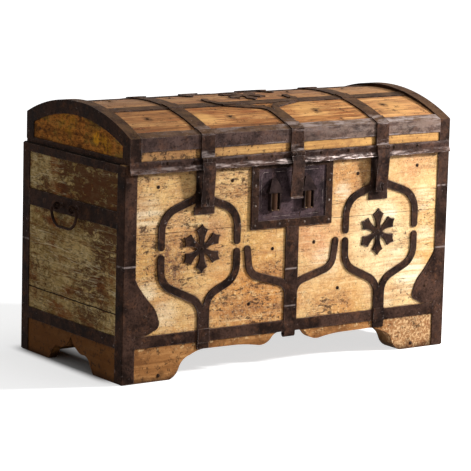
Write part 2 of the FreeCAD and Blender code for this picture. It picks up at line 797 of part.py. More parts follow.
def frame_arms(place, arm_sizes, turn, stem_width):
    """Outer and inner arm of a frame whose strap stands at a distance from the middle."""
    width = float(size("arm_width"))
    outer = Arm(half_width * size("outer_arm_share") - place, *arm_sizes, turn)
    inner = Arm(place - half_width * size("inner_arm_share"), *arm_sizes, turn)
    join = outer.stations(width, stem_width)[-1][0].y
    inner_join = inner.stations(width, stem_width)[-1][0].y
    faces = [outer.face(width, stem_width), inner.face(width, stem_width).mirror(vector(0, 0), vector(1, 0))]
    return faces, max(join, inner_join)


def lower_tulip(place):
    """Lower half of a frame, with its strap stepping over the base band."""
    width = float(size("lower_strap_width"))
    band_low = float(base_band_z)
    band_high = band_low + float(size("base_band_width"))
    step = float(size("strap_step"))
    names = ("end", "straight", "bend", "merge")
    sizes = [rim_z * size("lower_arm_" + name + "_share") for name in names]
    faces, join = frame_arms(place, sizes, LOWER_ARM_TURN, width)
    foot = band_low - float(size("strap_foot_drop"))
    faces.append(rectangle(-width / 2, width / 2, foot, join))
    flat = slab(faces, 0, strap)
    bridge = rectangle(-width / 2, width / 2, band_low - step, band_high + step)
    raised = slab([bridge], 0, strap + iron)
    under = slab([rectangle(-width, width, band_low, band_high)], 0, iron)
    return flat.fuse(raised).cut(under).removeSplitter()


def upper_tulip(place):
    """Upper half of a frame, with the plate behind the hasp."""
    plate = float(size("base_plate_width"))
    square = float(size("base_plate_end_width"))
    low = float(hasp_tip_z - size("base_plate_tail"))
    high = float(rim_z - size("corner_top_gap"))
    sizes = [-rim_z * size("upper_arm_end_share"), size("upper_arm_straight"),
             size("upper_arm_bend"), size("upper_arm_merge")]
    faces = [flipped(face) for face in frame_arms(place, sizes, UPPER_ARM_TURN, plate)[0]]
    faces.append(rectangle(-plate / 2, plate / 2, low, high))
    faces.append(rectangle(-square / 2, square / 2, low, low + float(size("base_plate_end_height"))))
    return slab(faces, 0, strap)


def tulips():
    sides = (("left", -1, size("left_lower_strap_share")), ("right", 1, size("right_lower_strap_share")))
    for side, sign, share in sides:
        lower_place = half_width * share
        pieces = (
            ("tulip_upper_", upper_tulip(strap_x), strap_x),
            ("tulip_lower_", lower_tulip(lower_place), lower_place),
        )
        for name, flat_iron, place_x in pieces:
            if sign < 0:
                flat_iron = flat_iron.mirror(vector(0, 0), vector(1, 0))
            placed = one_solid(stand_on_front(flat_iron, sign * place_x))
            name_node(shaped(name + side + "_iron", placed), name + side)
    centre_strap()


def centre_strap():
    """Strap under the lock, with two arms and a rolled lower end."""
    width = float(size("strap_width"))
    arm_width = float(size("arm_width"))
    centre = Arm(half_width * size("centre_arm_share"), rim_z * size("centre_arm_end_share"),
                 size("centre_arm_straight"), size("centre_arm_bend"), size("centre_arm_merge"),
                 CENTRE_ARM_TURN, CENTRE_ARM_LEAN)
    curl = float(size("curl_radius"))
    curl_half = float(size("curl_width")) / 2
    notch = float(plinth_z) * APRON_EDGE_SHARES[-1][-1][1]
    curl_z = notch - curl - float(size("board_seam"))
    faces = both_sides(centre.face(arm_width, width))
    faces.append(rectangle(-width / 2, width / 2, notch, float(lock_low_z)))
    faces.append(rectangle(-curl_half, curl_half, curl_z, notch))
    flat = stand_on_front(slab(faces, 0, strap), 0)
    roll_start = vector(-curl_half, float(front_y - strap) + curl, curl_z)
    roll = Part.makeCylinder(curl, 2 * curl_half, roll_start, vector(1, 0))
    hollow = Part.makeCylinder(curl - float(strap), 2 * curl_half, roll_start, vector(1, 0))
    centre_iron = flat.fuse(roll.cut(hollow)).removeSplitter()
    name_node(shaped("centre_strap", one_solid(centre_iron)), "tulip_centre")


def star_arm_geometry():
    radius = float(size("star_radius"))
    stem = STAR_STEM_SHARE * radius
    start = (stem, 0)
    runs = [[(stem, STAR_STEM_END_SHARE * radius)]]
    runs += scaled_runs([STAR_BARB_SHARES, STAR_POINT_SHARES], radius, radius)
    return outline(start, runs + mirror_runs(start, runs))


def star_body(purpose, x):
    """A star of the front: hub, one arm and its polar pattern."""
    body = helper("PartDesign::Body", purpose)
    hub_radius = STAR_HUB_SHARE * float(size("star_radius"))
    hub_circle = [Part.Circle(vector(0, 0), vector(0, 0, 1), hub_radius)]
    hub = body.newObject("PartDesign::Pad", purpose + "_hub")
    hub.Profile = sketch_on(body, "XZ_Plane", purpose + "_hub", hub_circle)
    hub.setExpression("Length", strap.text)
    arm = body.newObject("PartDesign::Pad", purpose + "_arm")
    arm.Profile = sketch_on(body, "XZ_Plane", purpose + "_arm", star_arm_geometry())
    arm.setExpression("Length", strap.text)
    document.recompute()
    pattern = body.newObject("PartDesign::PolarPattern", purpose + "_arms")
    pattern.Originals = [arm]
    pattern.Axis = (origin_plane(body, "Y_Axis"), [""])
    pattern.Angle = 360
    pattern.Occurrences = STAR_ARMS
    body.Tip = pattern
    place(body, x, front_y, star_z)
    return body


def stars():
    name_node(star_body("left_star", -star_x), "star_left")
    name_node(star_body("right_star", star_x), "star_right")


# Lock

lock_x = -size("lock_shift")
catch_x = -size("catch_shift")
lock_face = front_y - iron
bolt_back = front_y + size("bolt_plate_gap") + size("bolt_thickness")


def lock_plate():
    half = half_width * size("lock_share")
    x_span = (lock_x - half, lock_x + half)
    z_span = (lock_low_z, rim_z - size("lock_drop"))
    plate = block("plate_blank", x_span, (lock_face, front_y), z_span)
    margin = size("catch_width") / 2 + size("catch_slot_margin")
    slot_half = size("catch_slot_height") / 2
    through = (lock_face - overrun, front_y + overrun)
    slot = block("catch_slot", (catch_x - margin, catch_x + margin), through,
                 (catch_z - slot_half, catch_z + slot_half))
    key_x = lock_x + size("keyhole_shift")
    key_half = size("keyhole_width") / 2
    low = lock_low_z + size("keyhole_lift")
    keyhole = block("keyhole", (key_x - key_half, key_x + key_half), through,
                    (low, low + size("keyhole_height")))
    name_node(cut("plate", plate, fuse("plate_holes", [slot, keyhole])), "lock_plate")
    border = size("lock_border")
    raised = (lock_face - iron, lock_face)
    outer = block("border_outer", x_span, raised, z_span)
    inner = block("border_inner", (x_span[0] + border, x_span[1] - border),
                  (raised[0] - overrun, raised[1] + overrun),
                  (z_span[0] + border, z_span[1] - border))
    name_node(cut("border", outer, inner), "lock_border")


def tower(purpose, x):
    """A little roofed housing with an upright barrel, riveted to the lock plate."""
    half = size("tower_width") / 2
    wall = size("tower_wall")
    sill = catch_z - size("tower_sill_drop")
    eaves = catch_z + size("tower_eaves_rise")
    body_span = (lock_face - size("tower_depth"), lock_face)
    eaves_width = size("tower_eaves_width")
    pieces = [
        block(purpose + "_left_cheek", (x - half, x - half + wall), body_span, (sill, eaves)),
        block(purpose + "_right_cheek", (x + half - wall, x + half), body_span, (sill, eaves)),
        block(purpose + "_sill", (x - half, x + half), body_span, (sill, sill + wall)),
        block(purpose + "_eaves", (x - eaves_width / 2, x + eaves_width / 2),
              (lock_face - size("tower_eaves_depth"), lock_face), (eaves, eaves + wall)),
    ]
    barrel = helper("Part::Cylinder", purpose + "_barrel")
    barrel.setExpression("Radius", size("barrel_radius").text)
    barrel.setExpression("Height", (eaves - sill).text)
    barrel.Angle = 180
    barrel.Placement.Rotation = FreeCAD.Rotation(vector(0, 0, 1), 180)
    place(barrel, x, lock_face, sill)
    roof = helper("Part::Wedge", purpose + "_roof")
    ridge = size("roof_ridge_width")
    limits = {
        "Xmin": zero, "Xmax": eaves_width, "Ymin": zero, "Ymax": size("tower_roof_height") - wall,
        "Zmin": zero, "Zmax": size("tower_eaves_depth"), "X2min": (eaves_width - ridge) / 2,
        "X2max": (eaves_width + ridge) / 2, "Z2min": zero, "Z2max": size("roof_ridge_depth"),
    }
    for limit, value in limits.items():
        roof.setExpression(limit, value.text)
    roof.Placement.Rotation = FreeCAD.Rotation(vector(1, 0), 90)
    place(roof, x - eaves_width / 2, lock_face, eaves + wall)
    return fuse(purpose, pieces + [barrel, roof])


def towers():
    middle = -size("tower_shift")
    pieces = [tower("left_tower", middle - size("tower_spacing")),
              tower("right_tower", middle + size("tower_spacing"))]
    name_node(group("tower_pair", pieces), "lock_towers")


def lock_works():
    """Case let into the front board, with two guides and the sliding bolt."""
    half = size("case_half_width")
    wall = size("case_wall")
    depth = size("case_depth")
    case_z = (catch_z - size("case_half_height"), catch_z + size("case_half_height"))
    outer = block("case_outer", (lock_x - half, lock_x + half), (front_y, front_y + depth), case_z)
    inner = block("case_inner", (lock_x - half + wall, lock_x + half - wall),
                  (front_y - overrun, front_y + depth - wall),
                  (case_z[0] + wall, case_z[1] - wall))
    centre = catch_z
    slack = size("bolt_clearance")
    bolt_span = (bolt_back - size("bolt_thickness"), bolt_back)
    bolt_half = size("bolt_height") / 2
    parts = [cut("case_shell", outer, inner)]
    for number in range(2):
        start = catch_x + size("guide_start") + size("guide_pitch") * number
        guide = block("guide", (start, start + size("guide_width")),
                      (front_y, front_y + depth - wall),
                      (centre - bolt_half - wall, centre + bolt_half + wall))
        way = block("guide_way", (start - overrun, start + size("guide_width") + overrun),
                    (bolt_span[0] - slack, bolt_span[1] + slack),
                    (centre - bolt_half - slack, centre + bolt_half + slack))
        parts.append(cut("guide_cut", guide, way))
    name_node(fuse("case", parts), "lock_case")
    tip = catch_x + size("bolt_start")
    tongue_half = size("bolt_tongue_height") / 2
    shoulder = tip + size("bolt_tongue_length")
    tongue = block("bolt_tongue", (tip, shoulder), bolt_span,
                   (centre - tongue_half, centre + tongue_half))
    bar_end = lock_x + half - wall - size("bolt_room")
    bar = block("bolt_bar", (shoulder, bar_end), bolt_span,
                (centre - bolt_half, centre + bolt_half))
    name_node(fuse("bolt", [tongue, bar]), "lock_bolt")


# Staples, end handles and nails


def half_ring(ring, wire, leg):
    """A staple: half a ring on two short legs, in the YZ plane, reaching towards -Y."""
    loop = Part.makeTorus(ring, wire, vector(0, -leg), vector(1, 0))
    keep = Part.makeBox(4 * (ring + wire), leg + ring + wire, 4 * (ring + wire))
    keep.translate(vector(-2 * (ring + wire), -2 * leg - ring - wire, -2 * (ring + wire)))
    legs = [
        Part.makeCylinder(wire, leg, vector(0, 0, side * ring), vector(0, -1))
        for side in (-1, 1)
    ]
    return loop.common(keep).fuse(legs)


def staples():
    shape = half_ring(float(size("staple_ring")), float(size("staple_wire")), float(size("staple_leg")))
    pieces = []
    for x in (-strap_x, strap_x):
        staple = shape.copy()
        staple.translate(vector(x, front_y - strap, hasp_tip_z + size("staple_lift")))
        pieces.append(one_solid(staple))
    name_node(shaped("staple_pair", Part.makeCompound(pieces)), "hasp_staples")


def handle_eye(purpose, side, y):
    """Ring on a stem, with a rose against the middle band."""
    hole = size("eye_hole")
    wire = size("eye_wire")
    ring = helper("Part::Torus", purpose + "_ring")
    ring.setExpression("Radius1", (hole + wire).text)
    ring.setExpression("Radius2", wire.text)
    ring.Placement.Rotation = FreeCAD.Rotation(vector(1, 0), 90)
    place(ring, side * (half_width + size("bail_standoff")), y, bail_z)
    pieces = [ring]
    lengths = (
        ("_stem", size("eye_stem"), size("bail_standoff") - hole - wire),
        ("_rose", size("eye_rose"), size("eye_rose_height")),
    )
    for part, radius, length in lengths:
        rod = helper("Part::Cylinder", purpose + part)
        rod.setExpression("Radius", radius.text)
        rod.setExpression("Height", length.text)
        rod.Placement.Rotation = FreeCAD.Rotation(vector(0, 1), 90 * side)
        place(rod, side * half_width, y, bail_z)
        pieces.append(rod)
    return fuse(purpose, pieces)


def handle_eyes():
    eyes = []
    for side, name in ((-1, "left"), (1, "right")):
        for y in (bail_y - size("eye_spacing"), bail_y + size("eye_spacing")):
            eyes.append(handle_eye(name + "_eye", side, y))
    name_node(group("eyes", eyes), "handle_eyes")


def bails():
    half = float(size("bail_half_width"))
    stub = float(size("bail_stub"))
    shoulder = float(size("bail_shoulder"))
    corner = float(size("bail_corner"))
    drop = -float(size("bail_drop"))
    corners = [
        (-stub, 0, 0), (-half, 0, shoulder), (-half, drop, corner),
        (half, drop, corner), (half, 0, shoulder), (stub, 0, 0),
    ]
    for name, side in (("left", -1), ("right", 1)):
        body = helper("PartDesign::Body", name + "_bail")
        spine = sketch_on(body, "YZ_Plane", name + "_bail_path", rounded(corners, closed=False))
        section = sketch_on(body, "XZ_Plane", name + "_bail_section", [
            Part.Circle(vector(0, 0), vector(0, 0, 1), float(size("bail_wire")))])
        section.AttachmentOffset = FreeCAD.Placement(vector(0, 0, stub), FreeCAD.Rotation())
        pipe = body.newObject("PartDesign::AdditivePipe", name + "_bail_wire")
        pipe.Profile = section
        pipe.Spine = spine
        body.Tip = pipe
        place(body, side * (half_width + size("bail_standoff")), bail_y, bail_z)
        name_node(body, "bail_" + name)


def nail_head():
    """A forged rose head: a low pyramid with a small flat top."""
    radius = float(size("nail_radius"))
    rings = []
    for height_share, radius_share in NAIL_RING_SHARES:
        ring = radius * radius_share
        points = []
        for number in range(NAIL_SIDES + 1):
            angle = 2 * math.pi * number / NAIL_SIDES
            points.append(vector(ring * math.cos(angle), ring * math.sin(angle),
                                 height_share * float(size("nail_height"))))
        rings.append(Part.makePolygon(points))
    return Part.makeLoft(rings, True, True)


def nailed(head, position, normal):
    """A head with its back at a point, pointing along a normal."""
    turned = head.copy()
    turned.Placement = FreeCAD.Placement(position, FreeCAD.Rotation(vector(0, 0, 1), normal))
    return turned


def body_nails():
    head = nail_head()
    out = vector(0, -1)
    heads = []
    for share_x, share_z in FRONT_NAIL_SHARES:
        spot = vector(wood_x * share_x, front_y, rim_z * share_z)
        heads.append(nailed(head, spot, out))
    edge = half_width - size("corner_leg_front")
    lobe_x = edge - size("lobe_reach") * LOBE_NAIL_SHARE[0]
    nail_z = lobe_z + lobe_height * LOBE_NAIL_SHARE[1]
    for side in (-1, 1):
        heads.append(nailed(head, vector(side * lobe_x, front_y - iron, nail_z), out))
        spot = vector(side * star_x, front_y - strap, star_z)
        heads.append(nailed(head, spot, out))
    name_node(shaped("front_nails", Part.makeCompound(heads)), "body_nails")


# Lid

lid_half_width = half_width - size("lid_inset")
lid_wood_x = lid_half_width - iron
lid_front = front_y - size("lid_overhang")
lid_back = back_y - size("lid_back_inset")
lid_y = (lid_front + lid_back) / 2
lid_half_depth = (lid_back - lid_front) / 2
lid_low = rim_z + size("lid_gap")
eaves_z = rim_z + size("lid_eaves_rise")
rise = size("lid_rise")
crown_y = float(size("crown_shift"))


class Barrel:
    """Round back of the lid, from the front eaves over the crown, around a line along X."""

    def __init__(self, height):
        self.radius = ((float(lid_half_depth) + crown_y) ** 2 + float(height) ** 2) / (2 * float(height))
        self.z = float(eaves_z) + float(height) - self.radius

    def height(self, offset, y_from_middle):
        """Height of the barrel grown by an offset, at a distance from the lid's middle."""
        return self.z + math.sqrt((self.radius + offset) ** 2 - (y_from_middle - crown_y) ** 2)

    def points(self, offset, start, end):
        """Arc between two distances from the middle, as its middle and end points."""
        middle = (start + end) / 2
        return [(middle, self.height(offset, middle)), (end, self.height(offset, end))]

    def hood(self, offset, low, x_low, x_high):
        """The lid grown by an offset, as one block from a height up to its round back."""
        side = float(lid_half_depth) + offset
        arc = self.points(offset, side, -side)
        geometry = outline((side, low), [[(side, self.height(offset, side))], arc, [(-side, low)]])
        face = face_of(geometry)
        face.transformShape(FreeCAD.Matrix(0, 0, 1, 0, 1, 0, 0, float(lid_y), 0, 1, 0, 0))
        solid = face.extrude(vector(float(x_high) - float(x_low), 0))
        solid.translate(vector(x_low, 0))
        return solid

    def shell(self, inner, outer, x_low, x_high, low):
        """Iron that follows the lid's outline between two offsets."""
        below = float(overrun)
        whole = self.hood(outer, low, x_low, x_high)
        return whole.cut(self.hood(inner, low - below, float(x_low) - below, float(x_high) + below))


arched_end = Barrel(rise)
barrel = Barrel(rise * size("stave_rise_share"))


def lid_slice(shape, near, far):
    """What lies between two distances from the lid's middle, on both sides of it."""
    box = shape.BoundBox
    pieces = []
    for side in (-1, 1):
        low, high = sorted((side * near, side * far))
        keep = Part.makeBox(box.XLength, high - low, box.ZLength)
        keep.translate(vector(box.XMin, float(lid_y) + low, box.ZMin))
        pieces.append(shape.common(keep))
    return pieces


def lid_frame():
    inner = -float(size("stave_thickness"))
    half = float(lid_half_depth)
    low = float(lid_low)
    reach = half - float(board)
    origin = (-lid_wood_x, lid_y, zero)
    for name, side in (("front", -1), ("back", 1)):
        path = [[(side * reach, low)], [(side * reach, barrel.height(inner, side * reach))]]
        path += [barrel.points(inner, side * reach, side * half)]
        geometry = outline((side * half, low), path)
        rail = padded("lid_" + name, "YZ_Plane", geometry, lid_wood_x * 2, origin)
        name_node(rail, "lid_" + name + "_rail")
    # an end fills the arch iron, and its upper corners stand on the rails
    path = [
        [(reach, low)],
        [(reach, barrel.height(inner, reach))],
        barrel.points(inner, reach, half),
        [(half, arched_end.height(0, half))],
        arched_end.points(0, half, -half),
        [(-half, barrel.height(inner, -half))],
        barrel.points(inner, -half, -reach),
    ]
    geometry = outline((-reach, low), path)
    left = padded("lid_end", "YZ_Plane", geometry, board, origin)
    name_node(left, "lid_end_left")
    right = mirrored("lid_end_mirrored", left, (1, 0, 0), (zero, zero, zero))
    name_node(right, "lid_end_right")


def staves():
    """Barrel boards between the ends, with radial joints and plumb outer edges."""
    half = float(lid_half_depth)
    thick = float(size("stave_thickness"))
    stave_end = lid_wood_x - board
    first = math.asin((-half - crown_y) / barrel.radius)
    last = math.asin((half - crown_y) / barrel.radius)
    share = (last - first) / STAVE_COUNT
    seam = float(size("board_seam")) / barrel.radius
    pieces = []

    def joint(angle):
        points = []
        for radius in (barrel.radius - thick, barrel.radius):
            points.append((crown_y + radius * math.sin(angle), barrel.z + radius * math.cos(angle)))
        return points

    def plumb(edge):
        return [(edge, barrel.height(-thick, edge)), (edge, barrel.height(0, edge))]

    for number in range(STAVE_COUNT):
        start = first + share * number + seam / 2
        end = first + share * (number + 1) - seam / 2
        near = plumb(-half) if number == 0 else joint(start)
        far = plumb(half) if number == STAVE_COUNT - 1 else joint(end)
        middle = joint((start + end) / 2)
        face = face_of(outline(near[0], [[near[1]], [middle[1], far[1]], [far[0]], [middle[0], near[0]]]))
        face.transformShape(FreeCAD.Matrix(0, 0, 1, 0, 1, 0, 0, float(lid_y), 0, 1, 0, 0))
        stave = face.extrude(vector(stave_end * 2, 0))
        stave.translate(vector(-stave_end, 0))
        pieces.append(stave)
    name_node(shaped("barrel_boards", Part.makeCompound(pieces)), "lid_staves")


def arch_irons():
    """Angle irons that follow the lid's outline at each end."""
    leg = float(size("arch_leg"))
    right = float(lid_half_width)
    over = arched_end.shell(0.0, float(iron), right - leg, right, float(lip_top_z))
    face = arched_end.hood(0.0, float(lid_low), lid_wood_x, lid_half_width)
    opening = arched_end.hood(-leg, float(lid_low) - float(overrun), lid_wood_x - overrun,
                              lid_half_width + overrun)
    iron_shape = one_solid(over.fuse(face.cut(opening)).removeSplitter())
    mirrored_shape = iron_shape.mirror(vector(0, 0), vector(1, 0))
    name_node(shaped("left_arch", mirrored_shape), "lid_arch_iron_left")
    name_node(shaped("right_arch", iron_shape), "lid_arch_iron_right")


def edge_iron(purpose, side):
    """Angle on a top edge, between the arch irons."""
    half = float(lid_half_depth)
    thick = float(iron)
    low = float(edge_iron_z)
    reach = half - float(size("edge_iron_reach"))
    outer = half + thick
    path = [
        [(side * outer, barrel.height(thick, side * outer))],
        barrel.points(thick, side * outer, side * reach),
        [(side * reach, barrel.height(0, side * reach))],
        barrel.points(0, side * reach, side * half),
        [(side * half, low)],
    ]
    length = (lid_half_width - size("arch_leg")) * 2
    return padded(purpose, "YZ_Plane", outline((side * outer, low), path), length, (-length / 2, lid_y, zero))


def edge_irons():
    """Angles on the front and back top edges, the front lip and the back band."""
    half = float(lid_half_depth)
    outer = half + float(iron)
    inner_end = lid_half_width - size("arch_leg")
    name_node(edge_iron("front_edge", -1), "lid_edge_iron_front")
    band = block("back_band", (-inner_end, inner_end), (lid_back, lid_back + iron),
                 (lid_low, rim_z + size("back_band_rise")))
    name_node(group("back_irons", [edge_iron("back_edge", 1), band]), "lid_back_irons")

    top = float(lip_top_z)
    low = float(lip_low_z)
    fold = float(lip_fold_z)
    flare = float(size("lip_flare"))
    lip = outline((-half, top), [
        [(-outer, top)], [(-outer, fold)], [(-outer - flare, low)], [(-half - flare, low)], [(-half, fold)],
    ])
    front_lip = padded("lip", "YZ_Plane", lip, lid_half_width * 2, (-lid_half_width, lid_y, zero))
    name_node(front_lip, "lid_front_lip")

    leg = size("arch_leg")
    span = (lid_front + leg, lid_back - leg)
    heights = (lid_low, rim_z + size("end_iron_rise"))
    ends = [block("lid_end_band", (-lid_half_width, -lid_wood_x), span, heights),
            block("lid_end_band", (lid_wood_x, lid_half_width), span, heights)]
    name_node(group("lid_end_bands", ends), "lid_end_irons")


def cross_straps():
    """Two long straps over the barrel, between the arch irons."""
    half = float(size("cross_strap_width")) / 2
    thick = float(iron)
    length = (lid_half_width - size("arch_leg")) * 2
    pieces = []
    for side in (-1, 1):
        near = side * float(size("cross_strap_place")) - half
        far = near + 2 * half
        path = [[(near, barrel.height(thick, near))], barrel.points(thick, near, far),
                [(far, barrel.height(0, far))], barrel.points(0, far, near)]
        geometry = outline((near, barrel.height(0, near)), path)
        pieces.append(padded("cross_strap", "YZ_Plane", geometry, length, (-length / 2, lid_y, zero)))
    name_node(group("cross_pair", pieces), "lid_cross_straps")


def strap_layer(x_low, x_high):
    """Where an over-strap runs: on the barrel, stepping over the irons it crosses."""
    low = float(edge_iron_z)
    thick = float(strap)
    over = float(iron)
    half = float(lid_half_depth)
    step = float(size("strap_step"))
    reach = half - float(size("edge_iron_reach"))
    strap_low = float(lid_low)
    raised = barrel.shell(over, over + thick, x_low, x_high, strap_low)
    solid = barrel.shell(0.0, over + thick, x_low, x_high, low)
    flat = barrel.shell(0.0, thick, x_low, x_high, low)
    place_y = float(size("cross_strap_place"))
    cross = float(size("cross_strap_width")) / 2
    pieces = lid_slice(raised, reach, half + 2 * (over + thick))
    pieces += lid_slice(solid, reach - step, reach)
    pieces += lid_slice(flat, 0, place_y - cross)
    pieces += lid_slice(flat, place_y + cross, reach)
    pieces += lid_slice(raised, place_y - cross, place_y + cross)
    pieces += lid_slice(solid, place_y - cross - step, place_y - cross)
    pieces += lid_slice(solid, place_y + cross, place_y + cross + step)
    return pieces[0].fuse(pieces[1:]).removeSplitter()


hasp_y = lid_front - iron - size("hasp_knuckle_gap") - size("hasp_barrel")
hinge_y = back_y + hinge_offset


def knuckle_spans(x, width):
    """Two outer knuckles and the middle one, along X."""
    third = width / 3
    gap = float(size("knuckle_gap"))
    start = x - width / 2
    left = (start, start + third - gap / 2)
    middle = (start + third + gap / 2, start + 2 * third - gap / 2)
    right = (start + 2 * third + gap / 2, start + width)
    return left, middle, right


def along_x(radius, span, y, z):
    return Part.makeCylinder(radius, span[1] - span[0], vector(span[0], y, z), vector(1, 0))


def upright_box(x_span, y_span, z_span):
    lows = [float(span[0]) for span in (x_span, y_span, z_span)]
    lengths = [float(span[1]) - float(span[0]) for span in (x_span, y_span, z_span)]
    solid = Part.makeBox(*lengths)
    solid.translate(vector(*lows))
    return solid


def strap_knuckles(bar, x):
    """Give a lid strap its outer hasp knuckles in front and its hinge knuckle behind."""
    width = float(size("strap_width"))
    left, middle, right = knuckle_spans(x, width)
    past = float(overrun)
    gap = float(size("knuckle_gap"))
    front_z = float(hasp_z)
    front_barrel = float(size("hasp_barrel"))
    back_z = float(rim_z)
    back_barrel = float(size("hinge_barrel"))
    outside = float(lid_front) - float(iron) - 2 * float(strap)
    whole_x = (x - width, x + width)
    # the strap's front end stops at the hinge axis, and above the hasp's own knuckle
    below = upright_box(whole_x, (outside - past, float(lid_y)), (back_z - past, front_z))
    clear = front_z + front_barrel + gap
    notch = upright_box((middle[0] - gap, middle[1] + gap), (outside - past, float(lid_y)),
                        (back_z - past, clear))
    bar = bar.cut(below).cut(notch)
    knuckles = [along_x(front_barrel, span, float(hasp_y), front_z) for span in (left, right)]
    # behind, a short web turns out from the strap to the hinge knuckle
    strap_back = float(lid_back) + float(iron)
    web_low = back_z + gap + float(size("pin_clearance"))
    web = upright_box(middle, (strap_back, float(hinge_y)), (web_low, back_z + back_barrel))
    trim = upright_box(whole_x, (float(lid_y), strap_back + 2 * float(strap)), (back_z - past, web_low))
    bar = bar.cut(trim)
    knuckles += [web, along_x(back_barrel, middle, float(hinge_y), back_z)]
    bar = bar.fuse(knuckles)
    bores = [
        along_x(float(size("hasp_pin") + size("pin_clearance")), whole_x, float(hasp_y), front_z),
        along_x(float(size("hinge_pin") + size("pin_clearance")), whole_x, float(hinge_y), back_z),
    ]
    return bar.cut(bores).removeSplitter()


def plan_prism(faces):
    """Plan outlines of the lid's irons as tall prisms over the lid's middle."""
    low = float(rim_z) - float(size("lip_flare"))
    high = float(eaves_z + rise) + float(overrun) + float(strap)
    prism = slab(faces, low, high)
    prism.translate(vector(0, lid_y))
    return prism


def lid_straps():
    width = float(size("strap_width"))
    arm_width = float(size("arm_width"))
    for name, x in (("left", -strap_x), ("right", strap_x)):
        middle = float(x)
        bar = strap_layer(middle - width / 2, middle + width / 2)
        solid = one_solid(strap_knuckles(bar, middle))
        name_node(shaped(name + "_lid_strap", solid), "lid_strap_" + name)
    # the middle strap forks into arms in front of the crown and behind it
    faces = []
    forks = []
    for name, side in (("left", -1), ("right", 1)):
        arm = Arm(size("lid_" + name + "_arm"), -size("lid_arm_end"), size("lid_arm_straight"),
                  size("lid_arm_bend"), size("lid_arm_merge"), LID_ARM_TURN)
        face = arm.face(arm_width, width)
        faces.append(face if side > 0 else face.mirror(vector(0, 0), vector(1, 0)))
        forks.append(-arm.stations(arm_width, width)[-1][0].y)
    faces += [flipped(face) for face in faces]
    spread = float(size("lid_left_arm")) + arm_width
    arms = strap_layer(-spread, spread).common(plan_prism(faces))
    bar = strap_layer(-width / 2, width / 2)
    reach = float(lid_half_depth) + 2 * float(iron + strap)
    for half in lid_slice(bar, min(forks), reach):
        arms = arms.fuse(half)
    whole = strap_knuckles(arms, 0.0)
    name_node(shaped("centre_lid_strap", whole), "lid_strap_centre")


def hinges():
    """Leaves on the back boards, with the two outer knuckles of each hinge, and the pins."""
    width = float(size("strap_width"))
    thick = float(strap)
    gap = float(size("knuckle_gap"))
    axis_z = float(rim_z)
    radius = float(size("hinge_barrel"))
    pin = float(size("hinge_pin"))
    slack = float(size("pin_clearance"))
    top = axis_z - gap
    bottom = axis_z - float(size("hinge_leaf_length"))
    leaves = []
    pins = []
    for x in (-float(strap_x), 0.0, float(strap_x)):
        left, middle, right = knuckle_spans(x, width)
        half = width / 2
        geometry = outline((x + half, top), [
            [(x + half, bottom + half)], [(x, bottom), (x - half, bottom + half)], [(x - half, top)]])
        plate = face_of(geometry).extrude(vector(0, 0, thick))
        plate.rotate(vector(0, 0), vector(1, 0), 90)
        plate.translate(vector(0, float(back_y) + thick))
        notch = upright_box((middle[0] - gap, middle[1] + gap),
                            (float(back_y) - float(overrun), float(hinge_y)),
                            (axis_z - radius - gap, axis_z + radius))
        leaf = plate.cut(notch)
        for span in (left, right):
            web = upright_box(span, (float(back_y), float(hinge_y)), (axis_z - radius, top))
            leaf = leaf.fuse([web, along_x(radius, span, float(hinge_y), axis_z)])
        whole_x = (x - width, x + width)
        leaf = leaf.cut(along_x(pin + slack, whole_x, float(hinge_y), axis_z)).removeSplitter()
        leaves.append(one_solid(leaf))
        pins.append(along_x(pin, (x - half, x + half), float(hinge_y), axis_z))
    name_node(shaped("leaves", Part.makeCompound(leaves)), "hinge_leaves")
    name_node(shaped("pins", Part.makeCompound(pins)), "hinge_pins")


def lid_star():
    """Star on the crown, bent to the barrel."""
    radius = float(size("star_radius"))
    hub = Part.Face(Part.Wire(Part.makeCircle(STAR_HUB_SHARE * radius)))
    arm = face_of(star_arm_geometry())
    faces = [hub]
    for number in range(STAR_ARMS):
        turned = arm.copy()
        turned.rotate(vector(0, 0), vector(0, 0, 1), 360.0 * number / STAR_ARMS)
        faces.append(turned)
    layer = barrel.shell(0.0, float(strap), -radius, radius, float(lid_low))
    star = layer.common(plan_prism(faces))
    name_node(shaped("crown_star", one_solid(star)), "lid_star")


# Hasps


def hasp_profile(tip_z):
    """Side view of a hasp in (y, z): neck, bend over the lip and tapering drop."""
    face = float(lid_front - iron)
    thick = float(strap)
    top = float(hasp_z) - float(size("hasp_barrel")) - float(size("hasp_shoulder_gap"))
    bend_z = float(hasp_bend_z)
    bend_y = face - float(size("hasp_bulge"))
    neck_y = face - float(size("hasp_neck_offset"))
    full_tip = float(hasp_tip_z)
    slope = (face - float(size("hasp_tip_offset")) - bend_y) / (bend_z - full_tip)
    tip_y = bend_y + slope * (bend_z - tip_z)
    inner = float(size("hasp_bend_radius"))
    outer = inner + thick
    return rounded([
        (neck_y, top, 0), (bend_y, bend_z, inner), (tip_y, tip_z, 0),
        (tip_y - thick, tip_z, 0), (bend_y - thick, bend_z, outer), (neck_y - thick, top, 0),
    ])


def profile_solid(geometry, span):
    """A YZ profile carried along X."""
    face = face_of(geometry)
    face.transformShape(FreeCAD.Matrix(0, 0, 1, 0, 1, 0, 0, 0, 0, 1, 0, 0))
    solid = face.extrude(vector(span[1] - span[0], 0))
    solid.translate(vector(span[0], 0))
    return solid


